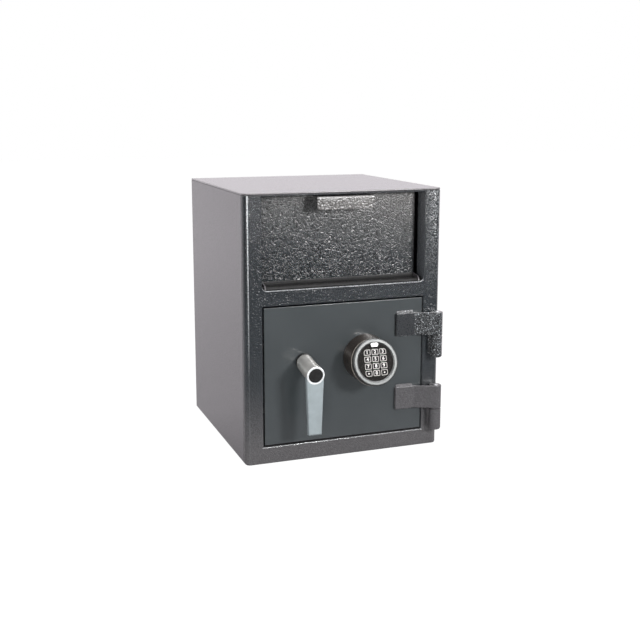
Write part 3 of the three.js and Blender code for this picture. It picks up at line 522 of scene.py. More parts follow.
HOUSING = Metal(
    "housing_bronze", (0.085, 0.072, 0.063), roughness=0.3, metallic=0.7, lay=Lay.TURNED, stain=0.2,
)
# Pale metal on the housing's ridge: a painted highlight ring.
HOUSING_RING_HIGHLIGHT = Metal("housing_ring_highlight", (0.50, 0.46, 0.41), roughness=0.28, metallic=0.3, lay=Lay.TURNED)
CAP_PLASTIC = Plastic(
    "lever_cap_plastic", (0.009, 0.009, 0.009), roughness=0.5, specular=0.3, grain=1.0, speckle=0.3,
)
PAD_PLASTIC = Plastic(
    "pad_plastic", (0.006, 0.0055, 0.005), roughness=0.6, specular=0.1, grain=1.1, speckle=0.7,
)
KEY_PLASTIC = Plastic("key_plastic", (0.005, 0.005, 0.005), roughness=0.5, depth=0.01, specular=0.1)
KEY_EDGE = Plastic("key_edge_print", (0.35, 0.335, 0.32), roughness=0.4, depth=0.01)
KEY_PRINT = Plastic("key_digit_print", (0.52, 0.51, 0.50), roughness=0.4, depth=0.01)
PLUG_PLASTIC = Plastic("plug_plastic", (0.02, 0.02, 0.021), roughness=0.5)
BATTERY = Plastic("battery_wrap", (0.03, 0.035, 0.05), roughness=0.35)
BOARD = CircuitBoard("circuit_board", (0.02, 0.12, 0.05), roughness=0.4)


def arc(centre: Point, radius: float, start: float, end: float, steps: int) -> list[Point]:
    """Points along an arc.

    Args:
        centre: the arc's centre.
        radius: the arc's radius.
        start: first angle in degrees.
        end: last angle in degrees.
        steps: number of chords.

    Returns:
        The points, both ends included.
    """
    angles = [math.radians(start + (end - start) * step / steps) for step in range(steps + 1)]
    return [(centre[0] + radius * math.cos(angle), centre[1] + radius * math.sin(angle)) for angle in angles]


def filleted(corners: Sequence[Corner], steps: int = 8) -> list[Point]:
    """A closed outline whose corners are rounded.

    Args:
        corners: each corner with its own radius, in order round the outline.
        steps: chords to each rounded corner.

    Returns:
        The outline's points.
    """
    points: list[Point] = []
    count = len(corners)
    for index, (a, b, radius) in enumerate(corners):
        here = Vector((a, b))
        if radius <= 0:
            points.append((a, b))
            continue
        before = (Vector(corners[index - 1][:2]) - here).normalized()
        after = (Vector(corners[(index + 1) % count][:2]) - here).normalized()
        half = before.angle(after) / 2
        first = here + before * (radius / math.tan(half))
        last = here + after * (radius / math.tan(half))
        centre = here + (before + after).normalized() * (radius / math.sin(half))
        start = first - centre
        turn = start.angle_signed(last - centre)
        for step in range(steps + 1):
            spin = Matrix.Rotation(-turn * step / steps, 2)
            points.append(tuple(centre + spin @ start))
    return points


def rectangle(
    a0: float, a1: float, b0: float, b1: float, radii: Sequence[float] = (0, 0, 0, 0),
) -> list[Point]:
    """A rectangle with its own radius at bottom left, bottom right, top right and top left."""
    places = ((a0, b0), (a1, b0), (a1, b1), (a0, b1))
    return filleted([(a, b, radius) for (a, b), radius in zip(places, radii)])


def round_edges(mesh: Mesh, edges: Sequence[bmesh.types.BMEdge], radius: float, steps: int) -> None:
    """Rounds the chosen edges of a mesh with a number of chords."""
    bmesh.ops.bevel(
        mesh, geom=edges, offset=radius, offset_type="OFFSET", segments=steps, profile=0.5, affect="EDGES",
        clamp_overlap=False,
    )


def prism(
    outline: Sequence[Point],
    plane: Plane,
    low: float,
    high: float,
    rounding: float = 0.0,
    choose: Callable[[Vector], bool] | None = None,
    steps: int = 3,
) -> Mesh:
    """Extrudes an outline, and may round the edges of its two ends.

    Args:
        outline: the closed outline.
        plane: the plane that it is drawn in.
        low: where the extrusion begins.
        high: where it ends.
        rounding: radius of the rounded end edges.
        choose: tells by an end edge's middle whether it is rounded; all are if it is left out.
        steps: chords across the rounding.

    Returns:
        The closed mesh, in millimetres.
    """
    mesh = bmesh.new()
    rings = [[mesh.verts.new(plane.place(a, b, depth)) for a, b in outline] for depth in (low, high)]
    caps = [mesh.faces.new(ring) for ring in rings]
    for index in range(len(outline)):
        mesh.faces.new((rings[0][index - 1], rings[0][index], rings[1][index], rings[1][index - 1]))
    bmesh.ops.recalc_face_normals(mesh, faces=mesh.faces)
    if rounding:
        edges = [edge for cap in caps for edge in cap.edges]
        if choose:
            edges = [edge for edge in edges if choose((edge.verts[0].co + edge.verts[1].co) / 2)]
        round_edges(mesh, edges, rounding, steps)
    return mesh


def block(x0: float, x1: float, y0: float, y1: float, z0: float, z1: float) -> Mesh:
    """A sharp box given by its limits."""
    return prism(rectangle(x0, x1, y0, y1), Plane.XY, z0, z1)


def turned(
    profile: Sequence[Point], plane: Plane, centre: Point, steps: int = 96, drop: float = 0.0,
) -> Mesh:
    """Turns a profile about a line across a plane.

    Args:
        profile: (radius, place along the line) pairs, closed by itself unless it starts and ends on the line.
        plane: the plane that the circles lie in.
        centre: the line's place in that plane.
        steps: chords round a circle.
        drop: how far the centre moves down for each millimetre towards the front.

    Returns:
        The closed mesh, in millimetres.
    """
    mesh = bmesh.new()
    first = profile[0][1]
    rings = []
    for radius, place in profile:
        middle = centre[1] - drop * (first - place)
        if radius < TINY:
            rings.append([mesh.verts.new(plane.place(centre[0], middle, place))])
            continue
        rings.append([])
        for angle in (math.tau * step / steps for step in range(steps)):
            a, b = centre[0] + radius * math.cos(angle), middle + radius * math.sin(angle)
            rings[-1].append(mesh.verts.new(plane.place(a, b, place)))
    closed = len(rings[0]) > 1
    for index in range(0 if closed else 1, len(rings)):
        back, ahead = rings[index - 1], rings[index]
        for step in range(steps):
            following = (step + 1) % steps
            corners = [
                back[step % len(back)], back[following % len(back)],
                ahead[following % len(ahead)], ahead[step % len(ahead)],
            ]
            unique = list(dict.fromkeys(corners))
            if len(unique) > 2:
                mesh.faces.new(unique)
    bmesh.ops.recalc_face_normals(mesh, faces=mesh.faces)
    return mesh


def cylinder(
    radius: float, low: float, high: float, plane: Plane, centre: Point, steps: int = 48,
    ends: Point = (0, 0),
) -> Mesh:
    """A round bar across a plane.

    Args:
        radius: its radius.
        low: where it begins.
        high: where it ends.
        plane: the plane that its circles lie in.
        centre: its middle in that plane.
        steps: chords round a circle.
        ends: radius of the rounding at its beginning and at its end.

    Returns:
        The closed mesh, in millimetres.
    """
    first, last = ends
    profile = [(0, low, 0), (radius, low, first), (radius, high, last), (0, high, 0)]
    return turned(filleted(profile, 5), plane, centre, steps)


def combine(operation: str, first: Mesh, *others: Mesh) -> Mesh:
    """Joins, cuts or intersects meshes.

    Args:
        operation: UNION, DIFFERENCE or INTERSECT.
        first: the mesh that is kept.
        others: the meshes that are added or taken away.

    Returns:
        The combined mesh.
    """
    scratch = bpy.data.collections.new("scratch")
    bpy.context.scene.collection.children.link(scratch)
    objects = []
    for index, source in enumerate((first, *others)):
        mesh = bpy.data.meshes.new(f"scratch_{index}")
        source.to_mesh(mesh)
        source.free()
        objects.append(bpy.data.objects.new(mesh.name, mesh))
        scratch.objects.link(objects[-1])
    for tool in objects[1:]:
        modifier = objects[0].modifiers.new(tool.name, "BOOLEAN")
        modifier.operation = operation
        modifier.solver = "EXACT"
        modifier.object = tool
    result = bmesh.new()
    graph = bpy.context.evaluated_depsgraph_get()
    result.from_mesh(bpy.data.meshes.new_from_object(objects[0].evaluated_get(graph)))
    for made in objects:
        bpy.data.objects.remove(made)
    bpy.data.collections.remove(scratch)
    bmesh.ops.remove_doubles(result, verts=result.verts, dist=WELD_DISTANCE)
    bmesh.ops.dissolve_degenerate(result, edges=result.edges, dist=WELD_DISTANCE)
    return result


def merged(*meshes: Mesh) -> Mesh:
    """Puts meshes into one, side by side, each keeping its faces' material numbers."""
    total = bmesh.new()
    for mesh in meshes:
        scratch = bpy.data.meshes.new("scratch")
        mesh.to_mesh(scratch)
        mesh.free()
        total.from_mesh(scratch)
        bpy.data.meshes.remove(scratch)
    return total


def tipped(
    mesh: Mesh, degrees: float, y: float, z: float, choose: Callable[[Vector], bool] | None = None,
) -> Mesh:
    """Tips a mesh about a line along X.

    Args:
        mesh: the mesh, in millimetres.
        degrees: how far its front turns up.
        y: the line's place from front to back.
        z: the line's height.
        choose: tells by its place whether a vertex moves; all do if it is left out.

    Returns:
        The same mesh.
    """
    middle = Vector((0, y, z))
    moved = [vert for vert in mesh.verts if choose is None or choose(vert.co)]
    bmesh.ops.rotate(mesh, cent=middle, matrix=Matrix.Rotation(math.radians(-degrees), 3, "X"), verts=moved)
    return mesh


def painted(
    mesh: Mesh, number: int, chosen: Callable[[Vector, Vector], bool] | None = None, other: int = 0,
) -> Mesh:
    """Gives the faces of a mesh their material numbers.

    Args:
        mesh: the mesh.
        number: the number of the chosen faces.
        chosen: tells by a face's middle and its normal whether it is chosen; all are if it is left out.
        other: the number of the other faces.

    Returns:
        The same mesh.
    """
    for face in mesh.faces:
        hit = chosen is None or chosen(face.calc_center_median(), face.normal)
        face.material_index = number if hit else other
    return mesh


def soften(
    piece: bpy.types.Object, edge: float, steps: int, angle: float, weight: int, clamp: bool = True,
) -> None:
    """Rounds a piece's sharp edges and smooths its shading, but keeps flat faces flat.

    Args:
        piece: the piece.
        edge: radius of the rounding in millimetres, or 0 for none.
        steps: chords across the rounding.
        angle: angle in degrees above which an edge is rounded.
        weight: how much more a large face counts than a small one.
        clamp: holds the rounding back wherever it would meet another.
    """
    if edge:
        bevel = piece.modifiers.new("edges", "BEVEL")
        bevel.width = edge * MM
        bevel.segments = steps
        bevel.limit_method = "ANGLE"
        bevel.angle_limit = math.radians(angle)
        bevel.use_clamp_overlap = clamp
    piece.data.polygons.foreach_set("use_smooth", [True] * len(piece.data.polygons))
    weighted = piece.modifiers.new("flat_faces", "WEIGHTED_NORMAL")
    weighted.keep_sharp = True
    weighted.weight = weight


def place(
    name: str,
    mesh: Mesh,
    finishes: Finish | Sequence[Finish],
    body: str,
    node: str = "",
    slot: str = "",
    edge: float = 0.0,
    sharp: float = 38.0,
    clamp: bool = True,
) -> bpy.types.Object:
    """Turns a mesh into a piece of the object.

    Args:
        name: the piece's name.
        mesh: its shape in millimetres.
        finishes: its finish, or one for each material number.
        body: the CAD body that it rides on.
        node: the CAD node that it replaces, if any.
        slot: the record's material slot for the piece; not used.
        edge: radius of a small rounding of every sharp edge.
        sharp: angle in degrees above which an edge stays sharp.
        clamp: holds the rounding back wherever it would meet another.

    Returns:
        The piece.
    """
    data = bpy.data.meshes.new(name)
    bmesh.ops.scale(mesh, vec=Vector((MM, MM, MM)), verts=mesh.verts)
    mesh.to_mesh(data)
    mesh.free()
    piece = bpy.data.objects.new(name, data)
    bpy.context.scene.collection.objects.link(piece)
    for finish in [finishes] if isinstance(finishes, Finish) else finishes:
        data.materials.append(finish.material())
    data.set_sharp_from_angle(angle=math.radians(sharp))
    soften(piece, edge, 3, sharp, 60, clamp)
    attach(piece, body)
    if node:
        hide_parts(node)
    log.info("%s: %d faces on %s", name, len(data.polygons), body)
    return piece


def dress(finish: Finish, *nodes: str, edge: float = 0.4) -> None:
    """Gives CAD nodes a finish and softly rounded edges.

    Args:
        finish: the nodes' finish.
        nodes: names of the nodes.
        edge: radius of the rounding in millimetres.
    """
    for name in nodes:
        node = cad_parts[name]
        node.data.materials.clear()
        node.data.materials.append(finish.material())
        node.data.polygons.foreach_set("material_index", [0] * len(node.data.polygons))
        weld = node.modifiers.new("weld", "WELD")
        weld.merge_threshold = NODE_WELD * MM
        soften(node, edge, 2, 40, 50)
        log.info("%s: CAD node dressed in %s", name, finish.name)


@dataclass
class Carcass:
    """The fixed body: welded front, wrap, top, back and the sheets inside."""

    half_width: float = 175.0
    front: float = -175.0
    rear: float = 175.0
    height: float = 450.0
    sheet: float = 3.0
    seam: float = 0.2
    edge_radius: float = 10.0
    corner_radius: float = 4.0
    foot_radius: float = 1.5
    lip: float = 12.0
    opening_half: float = 144.0
    door_low: float = 28.5
    door_high: float = 266.0
    hopper_low: float = 292.0
    hopper_high: float = 444.0
    hopper_corner: float = 8.0
    jamb_end: float = -146.0
    jamb_foot: float = 10.0
    sill_depth: float = 5.0
    hole_radius: float = 7.0
    hole_spacing: float = 200.0
    rod_radius: float = 4.5
    rod_y: float = -161.0
    rod_slack: float = 0.3
    past: float = 1.0

    def build(self) -> None:
        """Makes the fixed pieces."""
        self.build_front()
        self.build_wrap()
        self.build_top()
        self.build_back()
        self.build_rod()
        dress(HAMMERED_FINE, "chute_apron", "rear_deflector", "top_baffle", "hopper_stop")
        dress(PLUG_PLASTIC, "fixing_plug_left", "fixing_plug_right")

    @property
    def wall_top(self) -> float:
        """Height of the walls under the top panel."""
        return self.height - self.sheet - self.seam

    def shell(self, inset: float, back: float) -> Mesh:
        """The front's rounded outside, drawn in by an inset, from the face to a depth."""
        half = self.half_width - inset
        face = self.front + inset
        top = self.wall_top + (self.past if inset else 0)
        edge, corner = self.edge_radius - inset, self.corner_radius - inset
        plan = prism(
            filleted([(-half, face, edge), (half, face, edge), (half, back, 0), (-half, back, 0)], 12),
            Plane.XY, inset, top,
        )
        high = top + self.past
        facing = prism(
            filleted([(-half, inset, corner), (half, inset, corner), (half, high, 0), (-half, high, 0)], 8),
            Plane.XZ, face - self.past, back + self.past,
        )
        outside = half + self.past
        profile = prism(
            filleted([
                (face, inset, self.foot_radius - inset), (back + self.past, inset, 0),
                (back + self.past, high, 0), (face, high, 0),
            ], 8),
            Plane.YZ, -outside, outside,
        )
        return combine("INTERSECT", plan, facing, profile)

    def build_front(self) -> None:
        """The welded front with both openings and their returns."""
        outside = self.shell(0, self.front + self.lip)
        hollow = self.shell(self.sheet, self.front + self.lip + self.past)
        root = self.front + self.sheet / 2
        half, inner = self.opening_half, self.opening_half + self.sheet
        reach = self.opening_half + self.sheet / 2
        ledge = self.front + self.sill_depth
        corner = self.hopper_corner
        returns = [
            block(left, right, root, self.jamb_end, self.jamb_foot, self.wall_top)
            for left, right in ((-inner, -half), (half, inner))
        ] + [
            block(-reach, reach, root, depth, low, high) for depth, low, high in (
                (self.jamb_end, self.door_high, self.door_high + self.sheet),
                (self.jamb_end, self.door_low - self.sheet, self.door_low),
                (ledge, self.hopper_low - self.sheet, self.hopper_low + corner),
                (self.front + self.lip, self.hopper_high, self.wall_top),
            )
        ]
        before = self.front - self.past
        door_hole = block(-half, half, before, self.jamb_end + self.past, self.door_low, self.door_high)
        hopper_hole = prism(
            rectangle(-half, half, self.hopper_low, self.hopper_high, (corner, corner, 0, 0)),
            Plane.XZ, before, ledge + self.past,
        )
        end = inner + self.past
        rod_hole = cylinder(
            self.rod_radius + self.rod_slack, -end, end, Plane.YZ, (self.rod_y, self.hopper_low), 32,
        )
        shell = combine("DIFFERENCE", outside, hollow)
        shell = combine("UNION", shell, *returns)
        shell = combine("DIFFERENCE", shell, door_hole, hopper_hole, rod_hole)
        place(
            "welded_front", shell, HAMMERED_FRAME, "safe", "front_frame", "hammered_paint",
            edge=1.4, sharp=50, clamp=False,
        )

    def build_wrap(self) -> None:
        """The bent sheet of both sides and the base."""
        half, inner = self.half_width, self.half_width - self.sheet
        corner, inner_corner = self.corner_radius, self.corner_radius - self.sheet
        top = self.wall_top
        outline = filleted([
            (-half, top, 0), (-half, 0, corner), (half, 0, corner), (half, top, 0), (inner, top, 0),
            (inner, self.sheet, inner_corner), (-inner, self.sheet, inner_corner), (-inner, top, 0),
        ], 10)
        sheet = prism(outline, Plane.XZ, self.front + self.lip + self.seam, self.rear)
        through = (self.hole_radius, -self.past, self.sheet + self.past, Plane.XY)
        holes = [cylinder(*through, (side * self.hole_spacing / 2, 0)) for side in (-1, 1)]
        wrap = combine("DIFFERENCE", sheet, *holes)
        place("side_wrap", wrap, HAMMERED_FINE, "safe", "body_wrap", "hammered_paint", edge=0.5, sharp=50)

    def build_top(self) -> None:
        """The top panel."""
        corner = self.edge_radius
        outline = rectangle(-self.half_width, self.half_width, self.front, self.rear, (corner, corner, 0, 0))
        panel = prism(outline, Plane.XY, self.height - self.sheet, self.height, 1.0)
        place("top_sheet", panel, HAMMERED_TOP, "safe", "top_panel", "hammered_paint")

    def build_back(self) -> None:
        """The back panel."""
        half = self.half_width - self.sheet - self.seam
        corner = self.corner_radius - self.sheet
        outline = rectangle(-half, half, self.sheet + self.seam, self.wall_top, (corner, corner, 0, 0))
        panel = prism(outline, Plane.XZ, self.rear - self.sheet, self.rear, 0.6)
        place("back_sheet", panel, HAMMERED_FINE, "safe", "back_panel", "hammered_paint")

    def build_rod(self) -> None:
        """The rod that the hopper tilts about."""
        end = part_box("hopper_pivot_rod")[1].x / MM
        rod = cylinder(self.rod_radius, -end, end, Plane.YZ, (self.rod_y, self.hopper_low), ends=(0.8, 0.8))
        # The rod takes the dark toe enamel instead of zinc: painted shade in the gap above the sill.
        place("pivot_rod", rod, HAMMERED_TOE, "safe", "hopper_pivot_rod", "zinc_steel")


@dataclass
class Hopper:
    """The tilting deposit hopper: face, pull lip, side plates and tray."""

    half_width: float = 141.0
    face: float = -145.0
    top: float = 441.5
    sheet: float = 2.5
    edge_radius: float = 5.0
    flange: float = 12.0
    toe_top: float = 296.0
    toe_radius: float = 7.0
    toe_reach: float = 10.0
    lip_half: float = 50.0
    lip_height: float = 21.5
    lip_reach: float = 32.0
    lip_sheet: float = 2.0
    lip_bend: float = 3.0
    lip_corner: float = 5.0
    gap: float = 0.2
    past: float = 1.0

    def build(self) -> None:
        """Makes the hopper's pieces."""
        self.build_face()
        self.build_lip()
        dress(HAMMERED_FINE, "hopper_side_left", "hopper_side_right", "hopper_floor")

    def build_face(self) -> None:
        """The face with its rounded side flanges and the bend along its foot."""
        back = self.face + self.sheet
        flat = self.half_width - self.edge_radius
        bend_z = self.toe_top + self.toe_radius
        bend = (self.face - self.toe_radius, bend_z)
        foot = self.face - self.toe_reach
        profile = [(self.face, self.top), *arc(bend, self.toe_radius, 0, -90, 12), (foot, self.toe_top)]
        profile += [(foot, self.toe_top - self.sheet), *arc(bend, self.toe_radius + self.sheet, -90, 0, 12)]
        profile.append((back, self.top))
        panel = prism(profile, Plane.YZ, -flat - self.gap, flat + self.gap)
        flange_end = self.face + self.flange
        rims = []
        for side in (-1, 1):
            outer = side * self.half_width
            inner = side * (self.half_width - self.sheet)
            outline = filleted([
                (side * (flat - self.past), self.face, 0), (outer, self.face, self.edge_radius),
                (outer, flange_end, 0), (inner, flange_end, 0), (inner, back, self.edge_radius - self.sheet),
                (side * (flat - self.past), back, 0),
            ], 10)
            rims.append(prism(outline, Plane.XY, bend_z, self.top))
        # The foot bend takes the dark toe enamel: painted shade in the gap above the sill.
        face = painted(
            combine("UNION", panel, *rims), 1,
            lambda middle, _: middle.z < bend_z + 0.1 and middle.y < self.face - 0.05,
        )
        place(
            "hopper_front", face, [HAMMERED_DEEP, HAMMERED_TOE], "hopper", "hopper_face", "hammered_paint",
            edge=0.4, sharp=50,
        )

    def build_lip(self) -> None:
        """The pull lip, bent over at the front and rounded at its lower corners."""
        back = self.face - self.gap
        front = self.face - self.lip_reach
        low = self.top - self.lip_height
        inner = front + self.lip_sheet
        under = self.top - self.lip_sheet
        profile = filleted([
            (back, self.top, 0), (front, self.top, self.lip_bend), (front, low, 0), (inner, low, 0),
            (inner, under, self.lip_bend - self.lip_sheet), (back, under, 0),
        ], 8)
        corner = self.lip_corner
        strip = prism(profile, Plane.YZ, -self.lip_half, self.lip_half)
        limits = prism(
            rectangle(-self.lip_half, self.lip_half, low, self.top + self.past, (corner, corner, 0, 0)),
            Plane.XZ, front - self.past, back + self.past,
        )
        lip = combine("INTERSECT", strip, limits)
        place("pull_lip", lip, HAMMERED_LIP, "hopper", "hopper_lip", "hammered_paint", edge=0.5, sharp=50)


@dataclass
class Hinge:
    """One of the two door hinges, with its weld beads."""

    name: str
    base: float
    finish: Finish
    flat_finish: Finish
    axis_x: float = 164.5
    axis_y: float = -185.8
    barrel: float = 10.5
    pin: float = 5.0
    slack: float = 0.3
    face: float = -175.3
    thickness: float = 5.5
    reach: float = 73.0
    bend_reach: float = 38.0
    knuckle_height: float = 37.3
    strap_height: float = 39.0
    barrel_height: float = 41.3
    gap: float = 1.0
    foot_half: float = 7.0
    foot_round: float = 3.2
    knuckle_round: float = 0.8
    strap_round: float = 1.3
    low_round: float = 0.9
    end_round: float = 1.6
    bend_round: float = 9.0
    back_bend_round: float = 6.0
    bead: float = 4.6

    @property
    def centre(self) -> Point:
        """The hinge line in plan."""
        return self.axis_x, self.axis_y

    def build(self) -> None:
        """Makes the knuckle, the strap, the pin and their welds."""
        knuckle_top = self.base + self.knuckle_height
        barrel_base = knuckle_top + self.gap
        top = barrel_base + self.barrel_height
        strap_base = top - self.strap_height
        knuckle = prism(self.knuckle_outline(), Plane.XY, self.base, knuckle_top)
        knuckle = self.rounded_end(knuckle, self.base, self.foot_round)
        knuckle = self.rounded_end(knuckle, knuckle_top, self.knuckle_round)
        self.place_part(f"knuckle_{self.name}", knuckle, "safe", "hinge_knuckle")
        plate = prism(self.strap_outline(), Plane.XY, strap_base, top)
        plate = self.rounded_end(plate, top, self.strap_round)
        plate = self.rounded_end(plate, strap_base, self.low_round, self.axis_x - self.barrel)
        collar = prism(self.barrel_outline(), Plane.XY, barrel_base, strap_base + self.barrel)
        collar = self.rounded_end(collar, barrel_base, self.low_round)
        self.place_part(f"strap_{self.name}", combine("UNION", plate, collar), "door", "hinge_strap")
        self.build_pin()
        self.build_welds(strap_base)

    def barrel_outline(self) -> list[Point]:
        """The strap's barrel in plan, a whole circle."""
        return arc(self.centre, self.barrel - 0.02, 0, 360, 64)[:-1]

    def knuckle_outline(self) -> list[Point]:
        """The fixed knuckle in plan: a barrel on a short foot."""
        angle = math.degrees(math.acos(self.foot_half / self.barrel))
        return [
            (self.axis_x + self.foot_half, self.face), (self.axis_x - self.foot_half, self.face),
            *arc(self.centre, self.barrel, 180 - angle, 360 + angle, 40),
        ]

    def strap_outline(self) -> list[Point]:
        """The strap in plan: a flat, a ramp and a barrel."""
        outer = self.face - self.thickness
        rise = outer - self.axis_y
        lean = math.asin(self.barrel / math.hypot(self.bend_reach, rise)) + math.atan2(rise, self.bend_reach)
        tangent = -90 - math.degrees(lean)
        inner = self.barrel - self.thickness
        back = tangent - math.degrees(math.acos(inner / self.barrel)) + 360
        bend = self.axis_x - self.bend_reach
        back_bend = bend + self.thickness * math.tan(lean / 2)
        ramp = arc(self.centre, self.barrel, tangent, back, 40)
        start = ramp[0]
        left = self.axis_x - self.reach
        soft = filleted([
            (left, self.face, 0), (left, outer, self.end_round), (bend, outer, self.bend_round), (*start, 0),
            (back_bend, self.face, self.back_bend_round),
        ], 6)
        knee = soft.index(min(soft, key=lambda point: math.dist(point, start)))
        return soft[:knee] + ramp + soft[knee + 1:]

    def place_part(self, name: str, solid: Mesh, body: str, node: str) -> None:
        """Drills one half of the hinge for the pin and places it."""
        reach = self.knuckle_height + self.barrel_height
        high = self.base + reach + 3 * self.gap
        bore = cylinder(self.pin + self.slack, self.base - self.gap, high, Plane.XY, self.centre)
        bend = self.axis_x - self.bend_reach
        # Faces of the flat take the second finish, on the upper hinge a shaded copy beside a lit copy:
        # painted light and shade.
        part = painted(
            combine("DIFFERENCE", solid, bore), 1,
            lambda middle, normal: middle.x < bend - 1 and abs(normal.z) < 0.3,
        )
        finishes = [self.finish, self.flat_finish]
        place(name, part, finishes, body, f"{node}_{self.name}", "hammered_paint", sharp=40)

    def rounded_end(
        self, solid: Mesh, limit: float, rounding: float, right: float = math.inf,
    ) -> Mesh:
        """Rounds one end's edges up to a place to the right, all but those against the door."""
        edges = [
            edge for edge in solid.edges
            if all(abs(vert.co.z - limit) < TINY for vert in edge.verts)
            and any(vert.co.y < self.face - 0.05 for vert in edge.verts)
            and all(vert.co.x < right for vert in edge.verts)
        ]
        round_edges(solid, edges, rounding, 5)
        return solid

    def build_pin(self) -> None:
        """The hinge pin."""
        low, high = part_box(f"hinge_pin_{self.name}")
        pin = cylinder(self.pin, low.z / MM, high.z / MM, Plane.XY, self.centre, ends=(0.8, 1.2))
        place(f"pin_{self.name}", pin, ZINC, "safe", f"hinge_pin_{self.name}", "zinc_steel")

    def build_welds(self, strap_base: float) -> None:
        """Beads along the strap's flat on the door, and beside the knuckle on the frame."""
        door_face = self.face + self.slack
        left, right = self.axis_x - self.reach + 1, self.axis_x - self.bend_reach - 1
        out = Vector((0, -1, 0))
        rows = []
        for height, up, share in ((strap_base + self.strap_height, 1, 1.0), (strap_base, -1, 0.6)):
            ends = [Vector((x, door_face, height)) for x in (left, right)]
            rows.append(weld_bead(*ends, Vector((0, 0, up)), out, self.bead * share))
        foot = self.axis_x - self.foot_half
        heights = (self.base + 3, self.base + self.knuckle_height - 1)
        ends = [Vector((foot, door_face, height)) for height in heights]
        side = weld_bead(*ends, Vector((-1, 0, 0)), out, self.bead * 0.8)
        for name, bead, body in (("strap_welds", merged(*rows), "door"), ("knuckle_weld", side, "safe")):
            place(f"{name}_{self.name}", bead, self.finish, body, slot="hammered_paint", sharp=80)


def weld_bead(
    start: Vector, end: Vector, first_leg: Vector, second_leg: Vector, leg: float,
) -> Mesh:
    """A rippled weld bead in the corner between two faces.

    Args:
        start: one end of the corner line.
        end: its other end.
        first_leg: direction along one face, away from the corner.
        second_leg: direction along the other face.
        leg: the bead's mean leg length in millimetres.

    Returns:
        The closed bead.
    """
    chord, ripple_length, fade_length, end_size, sunk = 0.5, 2.1, 2.2, 0.35, 0.15
    mesh = bmesh.new()
    run = end - start
    count = max(8, round(run.length / chord))
    sections = []
    for step in range(count + 1):
        share = step / count
        place_on = share * run.length
        ripple = abs(math.sin(math.pi * place_on / ripple_length))
        wander = noise.noise(start * 0.37 + run.normalized() * place_on * 0.22)
        fade = min(1.0, end_size + min(place_on, run.length - place_on) / fade_length)
        size = leg * fade * (0.84 + 0.12 * ripple + 0.16 * wander)
        middle = start + run * share - (first_leg + second_leg) * sunk
        ring = [mesh.verts.new(middle)]
        for spread in map(math.radians, range(0, 91, 15)):
            bulge = size * (0.8 + 0.2 * abs(math.cos(2 * spread)))
            spot = middle + first_leg * bulge * math.cos(spread) + second_leg * bulge * math.sin(spread)
            ring.append(mesh.verts.new(spot))
        sections.append(ring)
    for back, ahead in zip(sections, sections[1:]):
        for index in range(len(back)):
            mesh.faces.new((back[index - 1], back[index], ahead[index], ahead[index - 1]))
    mesh.faces.new(sections[0])
    mesh.faces.new(sections[-1])
    bmesh.ops.recalc_face_normals(mesh, faces=mesh.faces)
    return mesh


@dataclass
class Door:
    """The cash door's plate and the bolt work's cover behind it."""

    screw_head: float = 4.5
    screw_height: float = 2.6
    shank: float = 2.4
    tip_radius: float = 1.68
    tip_length: float = 1.2
    crown_round: float = 1.5
    slot_width: float = 1.0
    slot_depth: float = 1.3

    def build(self) -> None:
        """Makes the door's own pieces."""
        dress(DOOR_ENAMEL, "door_plate", edge=0.8)
        dress(HAMMERED_FINE, "door_pan", edge=0.5)
        dress(ZINC, "dead_bar", "bolt_guide", edge=0.6)
        dress(ZINC, "lock_case", edge=0.8)
        dress(BRASS, "spindle_bush", edge=0.2)
        dress(PLUG_PLASTIC, "lock_cable", edge=0)
        for number in range(1, 5):
            self.build_screw(number)

    def build_screw(self, number: int) -> None:
        """One pan-head screw with a cross recess, driven from behind."""
        low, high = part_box(f"pan_screw_{number}")
        x, z = (low.x + high.x) / 2 / MM, (low.z + high.z) / 2 / MM
        tip, crown = low.y / MM, high.y / MM
        seat = crown - self.screw_height
        profile = filleted([
            (0, tip, 0), (self.tip_radius, tip, 0), (self.shank, tip + self.tip_length, 0),
            (self.shank, seat, 0), (self.screw_head, seat, 0.3), (self.screw_head, crown, self.crown_round),
            (0, crown, 0),
        ], 5)
        screw = turned(profile, Plane.XZ, (x, z), 40)
        half = self.slot_width / 2
        arm = self.screw_head * 0.6
        floor = crown - self.slot_depth
        cross = combine(
            "UNION", block(x - arm, x + arm, floor, crown + 1, z - half, z + half),
            block(x - half, x + half, floor, crown + 1, z - arm, z + arm),
        )
        screw = combine("DIFFERENCE", screw, cross)
        place(f"screw_{number}", screw, ZINC, "door", f"pan_screw_{number}", "zinc_steel")


@dataclass
class BoltWork:
    """The sliding bolts, their carriage, the lock's bolt and the crank."""

    radius: float = 8.0
    chamfer: float = 1.4

    def build(self) -> None:
        """Makes the bolts and dresses what drives them."""
        for name in ("upper", "lower"):
            low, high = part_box(f"locking_bolt_{name}")
            tip, root = low.x / MM, high.x / MM
            profile = filleted([
                (0, tip, 0), (self.radius - self.chamfer, tip, 0.3), (self.radius, tip + self.chamfer, 0.3),
                (self.radius, root, 0.5), (0, root, 0),
            ], 5)
            centre = ((low.y + high.y) / 2 / MM, (low.z + high.z) / 2 / MM)
            bolt = turned(profile, Plane.YZ, centre, 64)
            place(f"round_bolt_{name}", bolt, BOLT_STEEL, "boltwork", f"locking_bolt_{name}", "satin_chrome")
        dress(ZINC, "bolt_carriage", "crank", "handle_spindle")
        dress(BRASS, "lock_bolt")


